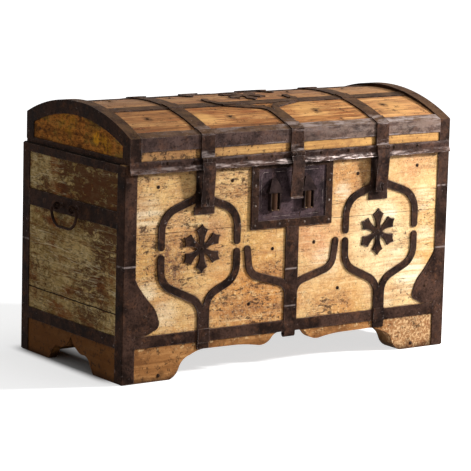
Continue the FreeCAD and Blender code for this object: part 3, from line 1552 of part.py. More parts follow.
def hasp_blank(x, tip_z):
    """Plate, neck and middle knuckle of a hasp."""
    half = float(size("hasp_width")) / 2
    middle = knuckle_spans(x, float(size("strap_width")))[1]
    plate = profile_solid(hasp_profile(tip_z), (x - half, x + half))
    axis_z = float(hasp_z)
    radius = float(size("hasp_barrel"))
    face = float(lid_front - iron)
    neck_out = face - float(size("hasp_neck_offset")) - float(strap)
    neck = upright_box(middle, (neck_out, neck_out + float(strap)),
                       (axis_z - radius - 2 * float(size("hasp_shoulder_gap")), axis_z))
    barrel = along_x(radius, middle, float(hasp_y), axis_z)
    bore = along_x(float(size("hasp_pin") + size("pin_clearance")), (x - 2 * half, x + 2 * half),
                   float(hasp_y), axis_z)
    return plate.fuse([neck, barrel]).cut(bore)


def hasps():
    hasp_front = lid_front - iron - size("hasp_bulge") - strap - overrun
    for name, x in (("left", -strap_x), ("right", strap_x)):
        middle = float(x)
        blank = hasp_blank(middle, float(hasp_tip_z))
        half = float(size("hasp_slot_width")) / 2
        tall = float(size("hasp_slot_height")) / 2
        centre = float(hasp_tip_z + size("hasp_slot_lift"))
        slot = upright_box((middle - half, middle + half), (hasp_front, lid_front),
                           (centre - tall, centre + tall))
        name_node(shaped(name + "_hasp", one_solid(blank.cut(slot).removeSplitter())), "hasp_" + name)
    middle = float(catch_x)
    blank = centre_hasp_blank(middle)
    name_node(shaped("centre_hasp", one_solid(blank)), "hasp_centre")


def home_point(y, z, angle):
    """Where a point of the closed hasp lies while the hasp hangs at rest."""
    turn = math.radians(angle)
    from_y = y - float(hasp_y)
    from_z = z - float(hasp_z)
    turned_y = from_y * math.cos(turn) + from_z * math.sin(turn)
    turned_z = -from_y * math.sin(turn) + from_z * math.cos(turn)
    return float(hasp_y) + turned_y, float(hasp_z) + turned_z


def centre_hasp_blank(x):
    """The centre hasp: a rolled tip, and behind it the catch with the bolt's eye."""
    tip_z = float(centre_tip_z)
    blank = hasp_blank(0.0, tip_z)
    roll = float(size("hasp_curl"))
    half = float(size("hasp_width")) / 2
    tip_y = hasp_back_at(tip_z)
    curl = along_x(roll, (-half, half), tip_y - roll, tip_z)
    bolt_middle = float(bolt_back) - float(size("bolt_thickness")) / 2
    eye_y, eye_z = home_point(bolt_middle, float(catch_z), CENTRE_HASP_HOME)
    slack = float(size("bolt_clearance"))
    eye_deep = float(size("bolt_thickness")) / 2 + slack
    eye_tall = float(size("bolt_tongue_height")) / 2 + slack
    tall = float(size("catch_height")) / 2
    wide = float(size("catch_width")) / 2
    root = hasp_back_at(eye_z + tall) - float(strap) / 2
    catch = upright_box((x - wide, x + wide), (root, eye_y + eye_deep + float(size("catch_tip_wall"))),
                        (eye_z - tall, eye_z + tall))
    past = float(overrun)
    eye = upright_box((x - wide - past, x + wide + past), (eye_y - eye_deep, eye_y + eye_deep),
                      (eye_z - eye_tall, eye_z + eye_tall))
    return blank.fuse([curl, catch]).cut(eye).removeSplitter()


def hasp_back_at(z):
    """Y of a hasp's back face below its bend."""
    face = float(lid_front - iron)
    bend_y = face - float(size("hasp_bulge"))
    bend_z = float(hasp_bend_z)
    slope = (face - float(size("hasp_tip_offset")) - bend_y) / (bend_z - float(hasp_tip_z))
    return bend_y + slope * (bend_z - z)


def hasp_pins():
    half = float(size("strap_width")) / 2
    pins = []
    for x in (-float(strap_x), 0.0, float(strap_x)):
        pins.append(along_x(float(size("hasp_pin")), (x - half, x + half), float(hasp_y),
                            float(hasp_z)))
    name_node(shaped("hasp_pin_set", Part.makeCompound(pins)), "hasp_pins")


def lid_nails():
    head = nail_head()
    heads = []
    lip_z = (lip_top_z + lip_fold_z) / 2
    for share in LIP_NAIL_SHARES:
        heads.append(nailed(head, vector(lid_wood_x * share, lid_front - iron, lip_z), vector(0, -1)))
    places = [(share_x, lid_half_depth * share_y) for share_x, share_y in BARREL_NAIL_SHARES]
    fork = size("cross_strap_place") + size("cross_strap_width") / 2 + size("fork_nail_gap")
    places.append((FORK_NAIL_SHARE, -fork))
    for share_x, place_y in places:
        from_middle = float(place_y)
        angle = math.asin((from_middle - crown_y) / barrel.radius)
        normal = vector(0, math.sin(angle), math.cos(angle))
        spot = vector(lid_wood_x * share_x, float(lid_y) + from_middle, barrel.height(0, from_middle))
        heads.append(nailed(head, spot, normal))
    name_node(shaped("lid_nail_set", Part.makeCompound(heads)), "lid_nails")


carcass_boards()
floor_boards()
aprons()
foot_blocks()
corner_irons()
bands()
tulips()
stars()
lock_plate()
towers()
lock_works()
staples()
handle_eyes()
bails()
body_nails()
lid_frame()
staves()
arch_irons()
edge_irons()
cross_straps()
lid_straps()
hinges()
lid_star()
hasps()
hasp_pins()
lid_nails()
document.recompute()

for item in document.Objects:
    if "Invalid" in item.State or "Error" in item.State:
        raise RuntimeError("%s did not recompute" % item.Label)
for item in nodes:
    if item.Shape.isNull() or not item.Shape.isValid():
        raise RuntimeError("%s has no valid shape" % item.Label)
os.makedirs("parts", exist_ok=True)
for item in nodes:
    item.Shape.exportStep("parts/%s.step" % item.Label)
    print(item.Label, len(item.Shape.Solids), round(item.Shape.Volume))
print(len(nodes), "nodes")
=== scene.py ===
import math
import random
from collections import namedtuple

import bmesh
import bpy
from mathutils import Matrix, Vector


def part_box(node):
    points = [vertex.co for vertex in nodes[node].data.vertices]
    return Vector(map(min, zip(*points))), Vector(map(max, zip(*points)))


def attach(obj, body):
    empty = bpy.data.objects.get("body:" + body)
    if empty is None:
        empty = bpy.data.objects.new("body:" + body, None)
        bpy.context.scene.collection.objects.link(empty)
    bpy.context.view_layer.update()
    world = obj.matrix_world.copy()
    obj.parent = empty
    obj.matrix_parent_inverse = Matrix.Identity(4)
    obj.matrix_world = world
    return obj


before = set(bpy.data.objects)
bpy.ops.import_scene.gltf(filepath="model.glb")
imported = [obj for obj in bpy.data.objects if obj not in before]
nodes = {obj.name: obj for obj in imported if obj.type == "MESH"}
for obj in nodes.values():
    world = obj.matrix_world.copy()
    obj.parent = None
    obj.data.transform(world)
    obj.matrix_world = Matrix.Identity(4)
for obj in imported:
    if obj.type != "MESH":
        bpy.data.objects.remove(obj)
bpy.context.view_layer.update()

# X runs to the right along the chest's front, Y to its back and Z up from the floor.
# Lengths are in metres.

# The photograph's camera, fitted to the chest's corners.
AZIMUTH = math.radians(-35.03)
ELEVATION = math.radians(9.92)
ROLL = math.radians(1.49)
PHOTO_PIXELS = 471
FOCAL_PIXELS = 2508.35
SENSOR_WIDTH = 36.0
CAMERA_DISTANCE = 7.76068
CAMERA_SIDEWAYS = -0.00649
CAMERA_TARGET = Vector((0.003, 0.0049, 0.34927))
FAR_CLIP = 200.0


def add_camera():
    """A camera that sees the chest as the photograph does."""
    back = Vector((
        math.sin(AZIMUTH) * math.cos(ELEVATION),
        -math.cos(AZIMUTH) * math.cos(ELEVATION),
        math.sin(ELEVATION),
    ))
    right = (-back).cross(Vector((0, 0, 1))).normalized()
    up = right.cross(-back)
    rolled_right = math.cos(ROLL) * right + math.sin(ROLL) * up
    rolled_up = -math.sin(ROLL) * right + math.cos(ROLL) * up
    data = bpy.data.cameras.new("camera")
    data.sensor_width = SENSOR_WIDTH
    data.lens = FOCAL_PIXELS / PHOTO_PIXELS * SENSOR_WIDTH
    data.clip_end = FAR_CLIP
    camera = bpy.data.objects.new("camera", data)
    bpy.context.scene.collection.objects.link(camera)
    axes = Matrix((rolled_right, rolled_up, back)).transposed().to_4x4()
    place = CAMERA_TARGET + right * CAMERA_SIDEWAYS + back * CAMERA_DISTANCE
    camera.matrix_world = Matrix.Translation(place) @ axes
    bpy.context.scene.camera = camera


class Shader:
    """A material under construction. Its levels and colours are passed on as sockets."""

    def __init__(self, name):
        self.material = bpy.data.materials.new(name)
        self.material.use_nodes = True
        self.tree = self.material.node_tree
        self.surface = self.tree.nodes["Principled BSDF"]
        texture = self.tree.nodes.new("ShaderNodeTexCoord")
        self.place = texture.outputs["Object"]
        self.facing = texture.outputs["Normal"]
        self.x, self.y, self.z = self.parts(self.place)

    def node(self, kind, **inputs):
        made = self.tree.nodes.new(kind)
        self.feed(made, inputs)
        return made

    def feed(self, made, inputs):
        for name, value in inputs.items():
            self.join(made.inputs[name.replace("_", " ")], value)

    def join(self, socket, value):
        """Link a socket to another one, or set it to a number or colour."""
        if isinstance(value, bpy.types.NodeSocket):
            self.tree.links.new(value, socket)
        elif isinstance(value, tuple) and socket.type == "RGBA":
            socket.default_value = (*value, 1.0)
        else:
            socket.default_value = value

    def parts(self, vector):
        return self.node("ShaderNodeSeparateXYZ", Vector=vector).outputs

    def math(self, operation, first, second, third=0.0, clamp=False):
        made = self.tree.nodes.new("ShaderNodeMath")
        made.operation = operation
        made.use_clamp = clamp
        for socket, value in zip(made.inputs, (first, second, third)):
            self.join(socket, value)
        return made.outputs[0]

    def times(self, *values):
        total = values[0]
        for value in values[1:]:
            total = self.math("MULTIPLY", total, value)
        return total

    def plus(self, *values):
        """A sum that stays between 0 and 1."""
        total = values[0]
        for value in values[1:]:
            total = self.math("ADD", total, value, clamp=True)
        return total

    def minus(self, first, second, clamp=False):
        return self.math("SUBTRACT", first, second, clamp=clamp)

    def stretched(self, x, y, z):
        made = self.node("ShaderNodeMapping", Vector=self.place)
        made.inputs["Scale"].default_value = (x, y, z)
        return made.outputs[0]

    def noise(self, scale, detail, rough, shift=0.0, distort=0.0, vector=None):
        """Cloudy noise from 0 to 1; each shift gives another pattern."""
        made = self.node("ShaderNodeTexNoise", Vector=vector or self.place)
        made.noise_dimensions = "4D"
        self.feed(made, {"W": shift, "Scale": scale, "Detail": detail, "Roughness": rough,
                         "Distortion": distort})
        return made.outputs[0]

    def grain(self, scales, detail, rough, shift=0.0, distort=0.0):
        """Noise with its own scale along each axis: the lowest one runs along the grain."""
        return self.noise(1.0, detail, rough, shift, distort, self.stretched(*scales))

    def span(self, value, low, high, to_low=0.0, to_high=1.0):
        """Smooth step of a value from one level to another."""
        made = self.node("ShaderNodeMapRange", Value=value)
        made.interpolation_type = "SMOOTHSTEP"
        self.feed(made, {"From_Min": low, "From_Max": high, "To_Min": to_low, "To_Max": to_high})
        return made.outputs[0]

    def band(self, value, low, high, soft):
        """1 between two values, 0 outside them."""
        rise = self.span(value, low - soft, low + soft)
        fall = self.span(value, high - soft, high + soft, 1.0, 0.0)
        return self.times(rise, fall)

    def pores(self, scale, low, high, where):
        """Round holes, one to a cell, in the parts that a mask keeps."""
        cells = self.node("ShaderNodeTexVoronoi", Vector=self.place, Scale=scale)
        return self.times(self.span(cells.outputs["Distance"], low, high, 1.0, 0.0), where)

    def spots(self, across, up, places):
        """Soft patches added up: each place is (across, up, radius, share)."""
        patches = []
        for at_across, at_up, radius, share in places:
            from_across = self.minus(across, at_across)
            from_up = self.minus(up, at_up)
            across_squared = self.times(from_across, from_across)
            squared = self.math("MULTIPLY_ADD", from_up, from_up, across_squared)
            patches.append(self.span(squared, 0.0, radius * radius, share, 0.0))
        return self.plus(*patches)

    def mix(self, share, first, second):
        made = self.tree.nodes.new("ShaderNodeMix")
        made.data_type = "RGBA"
        colours = [socket for socket in made.inputs if socket.type == "RGBA"]
        self.join(made.inputs[0], share)
        self.join(colours[0], first)
        self.join(colours[1], second)
        return made.outputs[2]

    def coats(self, colour, *coats):
        """Lay coats over a colour in turn: each is its share and its own colour."""
        for share, coat in coats:
            colour = self.mix(share, colour, coat)
        return colour

    def ramp(self, value, *stops):
        """A colour read off (level, colour) stops."""
        made = self.node("ShaderNodeValToRGB", Fac=value)
        elements = made.color_ramp.elements
        while len(elements) < len(stops):
            elements.new(0.5)
        for element, (at, colour) in zip(elements, stops):
            element.position = at
            element.color = (*colour, 1.0)
        return made.outputs[0]

    def ridges(self, radius):
        """Edges, where a rounded normal leaves the true one."""
        rounded = self.node("ShaderNodeBevel", Radius=radius)
        rounded.samples = 4
        true = self.tree.nodes.new("ShaderNodeNewGeometry")
        product = self.tree.nodes.new("ShaderNodeVectorMath")
        product.operation = "DOT_PRODUCT"
        self.tree.links.new(rounded.outputs[0], product.inputs[0])
        self.tree.links.new(true.outputs["Normal"], product.inputs[1])
        return self.span(product.outputs["Value"], 0.80, 0.97, 1.0, 0.0)

    def corner_shade_grime(self, distance):
        """Darkening where surfaces meet, from occlusion: soiling, and painted shade."""
        made = self.node("ShaderNodeAmbientOcclusion", Distance=distance)
        made.samples = 8
        return self.minus(1.0, made.outputs["AO"], clamp=True)

    def ragged_shade_grime(self, distance, less, scale, uneven):
        """Soiling and painted shade where surfaces meet, with a ragged edge; less is taken off all
        over.
        """
        patches = self.noise(scale, 6, 0.72, 13.0)
        return self.math("MULTIPLY_ADD", patches, uneven, self.minus(self.corner_shade_grime(distance), less))

    def bump(self, height, distance):
        return self.node("ShaderNodeBump", Height=height, Distance=distance).outputs[0]

    def finish(self, colour, roughness, normal, specular, metallic=0.0):
        """Set the surface and hand over the material."""
        self.feed(self.surface, {"Base_Color": colour, "Roughness": roughness, "Normal": normal,
                                 "Metallic": metallic, "Specular_IOR_Level": specular})
        return self.material


def linear(red, green, blue):
    """A colour from its 0 to 255 display values."""
    return tuple(((level / 255 + 0.055) / 1.055) ** 2.4 if level > 10 else level / 255 / 12.92
                 for level in (red, green, blue))


def darker(colour, share):
    """A colour at a share of its brightness."""
    return tuple(share * level for level in colour)


# Woods

# Height of the joint between the two boards of the front, and between the two of each other side.
FRONT_JOINT = 0.4370
SIDE_JOINT = 0.2040
# Between these heights the side boards are painted dark up to their edge: painted shade under the
# lid.
RIM_SHADE = (0.6370, 0.6395)
# The lid's reach from its middle, and the stain round each nail in its boards.
LID_HALF_WIDTH = 0.584
LID_HALF_DEPTH = 0.290
LID_MIDDLE_Y = -0.0021
NAIL_STAIN = 0.022
# Nails in the lid's boards, as shares of half its width and of half its depth.
LID_NAILS = (
    (-0.785, -0.62), (-0.305, -0.68), (0.245, -0.66), (0.700, -0.62), (-0.02, -0.46),
    (-0.785, 0.10), (-0.420, 0.10), (0.330, 0.10), (0.700, 0.10),
    (-0.785, 0.62), (-0.305, 0.66), (0.245, 0.66), (0.700, 0.62),
)

# Patches on the boards, as (x or y, z, radius, share); those on the lid's top lie at (x, y).
FRONT_WORN = (
    (-0.40, 0.355, 0.12, 0.9), (-0.41, 0.43, 0.10, 0.6), (-0.29, 0.39, 0.07, 0.4),
    (-0.215, 0.190, 0.11, 0.9), (-0.11, 0.190, 0.12, 0.9), (-0.08, 0.295, 0.07, 0.7),
    (-0.216, 0.575, 0.09, 0.6), (-0.53, 0.40, 0.10, 0.5), (-0.50, 0.60, 0.08, 0.4),
    (0.17, 0.140, 0.09, 0.6), (0.10, 0.145, 0.07, 0.5), (0.258, 0.50, 0.06, 0.5),
    (0.21, 0.60, 0.10, 0.35), (0.52, 0.43, 0.07, 0.5), (-0.19, 0.37, 0.07, 0.5),
    (0.44, 0.160, 0.08, 0.4), (0.42, 0.36, 0.06, 0.5), (0.55, 0.60, 0.06, 0.4),
)
# Painted highlights: near-white glare spots on the front.
FRONT_GLARE = (
    (0.50, 0.475, 0.05, 0.8), (0.37, 0.440, 0.04, 0.7), (0.188, 0.515, 0.04, 0.8),
    (0.466, 0.23, 0.08, 0.9), (0.40, 0.29, 0.05, 0.5), (0.51, 0.35, 0.05, 0.5),
    (0.13, 0.30, 0.07, 0.4), (-0.52, 0.50, 0.07, 0.6), (-0.52, 0.27, 0.05, 0.5),
    (-0.45, 0.197, 0.06, 0.4), (0.36, 0.175, 0.05, 0.4),
)
FRONT_ROSY = ((0.10, 0.40, 0.12, 0.9), (0.16, 0.33, 0.08, 0.5), (0.46, 0.58, 0.09, 0.6),
              (-0.29, 0.42, 0.08, 0.6), (-0.42, 0.45, 0.08, 0.5))
FRONT_PALE = ((0.34, 0.36, 0.16, 0.8), (0.30, 0.47, 0.10, 0.4), (0.36, 0.20, 0.12, 0.6),
              (0.47, 0.22, 0.09, 0.4))
FRONT_TAWNY = ((-0.20, 0.20, 0.16, 0.9), (-0.06, 0.20, 0.12, 0.9), (0.20, 0.55, 0.10, 0.8),
               (0.16, 0.18, 0.12, 0.5), (-0.10, 0.30, 0.10, 0.5))
FRONT_BURNT = ((-0.460, 0.41, 0.05, 0.8), (-0.440, 0.355, 0.06, 0.9), (-0.41, 0.315, 0.05, 0.8),
               (-0.455, 0.47, 0.04, 0.5), (-0.16, 0.165, 0.06, 0.5), (0.275, 0.545, 0.05, 0.6))
SIDE_WORN = (
    (-0.16, 0.535, 0.20, 1.0), (-0.02, 0.58, 0.14, 0.7), (-0.20, 0.40, 0.13, 0.6),
    (0.12, 0.42, 0.09, 0.35), (-0.10, 0.225, 0.16, 0.6), (0.20, 0.25, 0.12, 0.35),
    (-0.22, 0.60, 0.12, 0.8), (0.17, 0.50, 0.07, 0.5),
)
SIDE_BARED = ((-0.19, 0.50, 0.13, 1.0), (-0.06, 0.555, 0.10, 0.8), (-0.24, 0.57, 0.10, 0.8))
LID_GOLD = ((-0.27, -0.20, 0.05, 0.8), (0.12, -0.17, 0.08, 0.5), (0.43, -0.20, 0.07, 0.4))
LID_END_GOLD = ((-0.105, 0.703, 0.028, 1.0), (-0.15, 0.680, 0.05, 0.5), (0.06, 0.735, 0.06, 0.3))
PLINTH_STAINS = ((-0.46, 0.022, 0.014, 1.0), (0.46, 0.022, 0.016, 1.0))


def bare_inside(s, colour):
    """Leave the inner faces of the carcass unpainted."""
    margin = 0.0008
    soft = 0.0003
    left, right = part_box("left_board_upper")[1].x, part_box("right_board_upper")[0].x
    front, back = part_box("front_board_upper")[1].y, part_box("back_board_upper")[0].y
    within = s.times(s.band(s.x, left - margin, right + margin, soft),
                     s.band(s.y, front - margin, back + margin, soft))
    streaks = s.grain((3.0, 3.0, 40.0), 6, 0.62, 21.0)
    bare = s.ramp(streaks, (0.34, linear(104, 72, 42)), (0.52, linear(146, 108, 68)),
                  (0.68, linear(170, 130, 86)))
    return s.mix(within, colour, bare)


def front_paint(s, clouds, streaks, mottle):
    """Cream paint gone ochre in clouds and along the boards; pale, rosy, tawny places; painted glare.
    """
    broad = s.noise(2.2, 4, 0.55, 5.0)
    fine = s.grain((16.0, 180.0, 230.0), 7, 0.68, 3.0)
    rosy = s.spots(s.x, s.z, FRONT_ROSY)
    pale = s.spots(s.x, s.z, FRONT_PALE)
    tawny = s.spots(s.x, s.z, FRONT_TAWNY)
    bright = s.spots(s.x, s.z, FRONT_GLARE)
    return s.coats(
        s.mix(s.span(broad, 0.38, 0.60), linear(230, 190, 128), linear(214, 164, 88)),
        (s.span(clouds, 0.44, 0.66, 0.0, 0.75), linear(202, 146, 86)),
        (s.times(rosy, s.span(clouds, 0.36, 0.58, 0.35, 0.95)), linear(206, 140, 92)),
        (s.times(0.9, pale), linear(244, 218, 168)),
        (s.times(tawny, s.span(mottle, 0.36, 0.56, 0.45, 0.95)), linear(200, 130, 50)),
        (s.span(mottle, 0.50, 0.62, 0.0, 0.45), linear(188, 126, 68)),
        (s.span(mottle, 0.38, 0.48, 0.40, 0.0), linear(250, 222, 166)),
        (s.span(streaks, 0.50, 0.66, 0.0, 0.52), linear(172, 114, 62)),
        (s.span(streaks, 0.32, 0.45, 0.5, 0.0), linear(246, 218, 166)),
        (s.span(fine, 0.50, 0.66, 0.0, 0.45), linear(146, 96, 54)),
        # Painted highlight: near-white glare spots along the grain.
        (s.times(bright, s.span(streaks, 0.42, 0.60, 0.95, 0.1)), linear(255, 240, 206)),
    )


def front_stains(s, paint, worn, mottle):
    """Brown stains where the paint is worn, dark in their depths, burnt places and a fine grit."""
    stains = s.grain((6.0, 12.0, 12.0), 8, 0.74, 11.0, 0.5)
    crumbs = s.grain((60.0, 110.0, 150.0), 6, 0.78, 18.0)
    deep = s.noise(16.0, 8, 0.76, 16.0, vector=s.stretched(0.8, 1.0, 1.3))
    micro = s.noise(170.0, 3, 0.8, 25.0)
    brown = s.times(s.span(stains, 0.44, 0.60), s.span(worn, 0.2, 1.0, 0.25, 0.85),
                    s.span(crumbs, 0.40, 0.58, 0.40, 1.0))
    depths = s.times(s.span(deep, 0.50, 0.62), s.span(worn, 0.50, 1.0, 0.0, 0.9),
                     s.span(crumbs, 0.46, 0.60, 0.10, 1.0))
    burnt = s.times(s.spots(s.x, s.z, FRONT_BURNT), s.span(mottle, 0.46, 0.58, 0.0, 0.9))
    return s.coats(
        paint,
        (brown, linear(154, 96, 42)),
        (depths, linear(96, 58, 32)),
        (burnt, linear(112, 70, 44)),
        (s.span(micro, 0.52, 0.66, 0.0, 0.40), linear(150, 96, 48)),
        (s.span(micro, 0.34, 0.47, 0.32, 0.0), linear(255, 236, 188)),
    )


def front_marks(s, worn):
    """Specks, wormholes, long cracks and the joint between the boards."""
    flecks = s.noise(95.0, 4, 0.7, 2.0)
    blots = s.noise(30.0, 6, 0.74, 8.0, vector=s.stretched(0.7, 1.0, 1.4))
    dashes = s.grain((42.0, 90.0, 170.0), 5, 0.72, 12.0)
    specks = s.plus(
        s.times(s.span(flecks, 0.575, 0.635), s.span(worn, 0.10, 0.80, 0.22, 1.0)),
        s.times(s.span(blots, 0.535, 0.59), s.span(worn, 0.25, 0.9)),
        s.times(s.span(dashes, 0.57, 0.64), s.span(worn, 0.05, 0.85, 0.18, 1.0)),
        s.pores(150.0, 0.12, 0.19, s.span(s.noise(9.0, 2, 0.5, 4.0), 0.44, 0.56)),
        s.pores(62.0, 0.09, 0.14, s.span(s.noise(7.0, 2, 0.5, 17.0), 0.47, 0.57)),
    )
    crack_path = s.grain((2.2, 3.0, 26.0), 3, 0.5, 9.0)
    cracks = s.times(s.band(crack_path, 0.497, 0.503, 0.004),
                     s.span(s.noise(5.0, 2, 0.5, 6.0), 0.46, 0.56))
    half_gap = 0.0008
    uneven = s.math("ADD", s.z, s.times(0.004, s.minus(s.noise(12.0, 3, 0.6, 7.0), 0.5)))
    joint = s.band(uneven, FRONT_JOINT - half_gap, FRONT_JOINT + half_gap, 0.0005)
    return s.plus(specks, s.times(0.8, cracks), s.times(0.85, joint))


def painted_front():
    """Cream-yellow paint, worn, stained, cracked and speckled with wormholes; painted glare and
    shade.
    """
    s = Shader("painted_front")
    clouds = s.noise(8.0, 7, 0.66, 1.0)
    streaks = s.grain((3.2, 40.0, 58.0), 8, 0.66, distort=0.3)
    mottle = s.noise(46.0, 6, 0.76, 22.0)
    worn = s.plus(s.span(s.x, -0.60, 0.35, 0.50, 0.20), s.spots(s.x, s.z, FRONT_WORN))
    marks = front_marks(s, worn)
    # Soiling and painted shade where the irons and boards meet.
    grime_shade = s.ragged_shade_grime(0.035, 0.40, 34.0, 0.8)
    paint = front_paint(s, clouds, streaks, mottle)
    paint = front_stains(s, paint, worn, mottle)
    paint = s.coats(
        paint,
        (s.times(marks, 0.86), linear(60, 37, 24)),
        (s.span(grime_shade, 0.08, 0.42, 0.0, 0.85), linear(88, 54, 31)),
    )
    paint = bare_inside(s, paint)
    relief = s.minus(s.plus(s.times(0.5, streaks), s.times(0.35, clouds)), s.times(0.6, marks))
    return s.finish(paint, s.span(marks, 0.0, 1.0, 0.55, 0.9), s.bump(relief, 0.0016), 0.25)


def side_bareness(s, clouds):
    """Where the paint of the ends and the back has flaked down to the wood."""
    worn = s.plus(s.span(s.z, 0.44, 0.48, 0.22, 0.42), s.spots(s.y, s.z, SIDE_WORN))
    bared = s.spots(s.y, s.z, SIDE_BARED)
    flakes = s.grain((22.0, 22.0, 46.0), 9, 0.78, 2.0, 0.8)
    crumbs = s.grain((70.0, 70.0, 130.0), 6, 0.75, 12.0)
    return s.plus(
        s.times(s.span(flakes, 0.40, 0.50), s.span(bared, 0.25, 0.9)),
        s.times(s.span(flakes, 0.47, 0.54), s.span(worn, 0.35, 0.95)),
        s.times(s.span(crumbs, 0.52, 0.60), s.span(worn, 0.10, 0.9, 0.35, 1.0)),
        s.pores(110.0, 0.10, 0.17, s.span(clouds, 0.46, 0.56)),
    )


def painted_sides():
    """Greenish beige paint, streaked, scratched and flaked down to dark wood."""
    s = Shader("painted_sides")
    streaks = s.grain((8.0, 8.0, 76.0), 8, 0.70, distort=0.4)
    fine = s.grain((36.0, 36.0, 240.0), 7, 0.72, 3.0)
    clouds = s.noise(6.0, 7, 0.66, 1.0)
    bits = s.noise(60.0, 6, 0.74, 6.0)
    rust = s.noise(11.0, 7, 0.7, 9.0, vector=s.stretched(1.0, 1.0, 2.0))
    bare = side_bareness(s, clouds)
    scratch_path = s.grain((2.6, 2.6, 40.0), 3, 0.55, 5.0, 0.5)
    scratches = s.times(s.band(scratch_path, 0.494, 0.506, 0.006),
                        s.span(s.noise(4.0, 3, 0.5, 14.0), 0.48, 0.60))
    half_gap = 0.0018
    wander = 0.0060
    uneven = s.math("ADD", s.z, s.times(2 * wander, s.noise(6.0, 3, 0.6, 8.0)))
    joint = s.band(uneven, SIDE_JOINT + wander - half_gap, SIDE_JOINT + wander + half_gap, 0.0008)
    # Soiling and painted shade where the irons and boards meet.
    grime_shade = s.ragged_shade_grime(0.04, 0.40, 30.0, 0.8)
    paint = s.coats(
        s.mix(s.span(clouds, 0.42, 0.60), linear(216, 182, 120), linear(174, 140, 82)),
        (s.span(bits, 0.40, 0.54, 0.60, 0.0), linear(246, 220, 164)),
        (s.span(streaks, 0.48, 0.60, 0.0, 0.75), linear(138, 88, 44)),
        (s.span(fine, 0.49, 0.62, 0.0, 0.70), linear(88, 54, 28)),
        (s.span(rust, 0.49, 0.62, 0.0, 0.75), linear(140, 74, 34)),
        (s.times(bare, 0.90), linear(88, 48, 28)),
        (s.times(scratches, 0.7), linear(248, 226, 180)),
        (joint, linear(26, 16, 10)),
        (s.span(grime_shade, 0.06, 0.40, 0.0, 0.88), linear(50, 31, 18)),
        # Painted shade in the gap under the lid.
        (s.span(s.z, *RIM_SHADE), linear(30, 20, 14)),
    )
    paint = bare_inside(s, paint)
    relief = s.minus(s.plus(s.times(0.4, streaks), s.times(0.3, clouds)), s.times(0.7, bare))
    return s.finish(paint, 0.80, s.bump(relief, 0.0018), 0.05)


def aged_wood(s, wood, marks, relief, specular):
    """Finish boards: dark marks, and soiling with painted shade where the irons lie."""
    # Soiling and painted shade where the irons and boards meet.
    grime_shade = s.ragged_shade_grime(0.03, 0.35, 36.0, 0.7)
    wood = s.coats(
        wood,
        (s.times(marks, 0.8), linear(48, 28, 16)),
        (s.span(grime_shade, 0.06, 0.45, 0.0, 0.88), linear(58, 35, 20)),
    )
    height = s.minus(relief, s.times(0.5, marks))
    return s.finish(wood, 0.70, s.bump(height, 0.0016), specular)


def lid_boards():
    """Barrel boards: a long grain, painted shade to the left and light to the right, dark rings at
    nails.
    """
    s = Shader("lid_boards")
    streaks = s.grain((3.0, 50.0, 50.0), 9, 0.70, distort=0.35)
    lines = s.grain((9.0, 170.0, 170.0), 6, 0.68, 4.0)
    ruddy = s.grain((7.0, 90.0, 90.0), 6, 0.72, 23.0, 0.4)
    clouds = s.noise(6.0, 7, 0.66, 2.0)
    greyed_back = s.times(s.span(s.y, -0.14, -0.02), s.span(clouds, 0.34, 0.56, 0.7, 0.3))
    gold = s.spots(s.x, s.y, LID_GOLD)
    wood = s.coats(
        s.ramp(streaks, (0.38, linear(118, 72, 40)), (0.50, linear(186, 127, 73)),
               (0.61, linear(226, 170, 108))),
        (s.span(lines, 0.48, 0.61, 0.0, 0.80), linear(88, 52, 28)),
        (s.span(clouds, 0.44, 0.66, 0.0, 0.60), linear(126, 84, 50)),
        (s.span(ruddy, 0.50, 0.62, 0.0, 0.65), linear(146, 76, 38)),
        # Painted light on the right of the lid, and painted shade on its left.
        (s.span(s.x, 0.22, 0.42, 0.0, 0.30), linear(226, 172, 116)),
        (s.span(s.x, -0.58, -0.05, 0.42, 0.0), linear(116, 82, 54)),
        (greyed_back, linear(142, 112, 86)),
        (s.times(gold, s.span(clouds, 0.40, 0.60, 0.9, 0.3)), linear(224, 172, 104)),
    )
    nails = [(LID_HALF_WIDTH * share_x, LID_MIDDLE_Y + LID_HALF_DEPTH * share_y, NAIL_STAIN, 1.0)
             for share_x, share_y in LID_NAILS]
    rings = s.times(s.spots(s.x, s.y, nails),
                    s.span(s.noise(70.0, 4, 0.7, 15.0), 0.36, 0.60, 0.5, 1.0))
    blots = s.noise(24.0, 7, 0.74, 7.0)
    dashes = s.grain((30.0, 110.0, 110.0), 5, 0.72, 12.0)
    marks = s.plus(s.span(blots, 0.57, 0.65), s.span(dashes, 0.57, 0.65), s.times(0.9, rings),
                   s.pores(90.0, 0.09, 0.16, s.span(clouds, 0.45, 0.56)))
    relief = s.plus(s.times(0.55, streaks), s.times(0.25, lines))
    return aged_wood(s, wood, marks, relief, 0.10)


def riser_boards():
    """The lid's upright front and back: golden to the right, mottled brown to the left."""
    s = Shader("riser_boards")
    streaks = s.grain((3.5, 40.0, 70.0), 8, 0.70, distort=0.3)
    clouds = s.noise(13.0, 7, 0.70, 2.0)
    left = s.span(s.x, -0.55, 0.15, 1.0, 0.0)
    wood = s.coats(
        s.ramp(streaks, (0.36, linear(150, 102, 56)), (0.50, linear(202, 150, 84)),
               (0.64, linear(232, 184, 112))),
        (s.span(clouds, 0.46, 0.64, 0.0, 0.65), linear(142, 94, 54)),
        (s.times(0.55, left), linear(138, 98, 66)),
    )
    blots = s.math("ADD", s.noise(48.0, 7, 0.76, 7.0), s.times(0.085, left))
    flecks = s.noise(110.0, 4, 0.7, 9.0)
    marks = s.plus(s.span(blots, 0.575, 0.64), s.span(flecks, 0.60, 0.68))
    return aged_wood(s, wood, marks, s.times(0.6, streaks), 0.14)


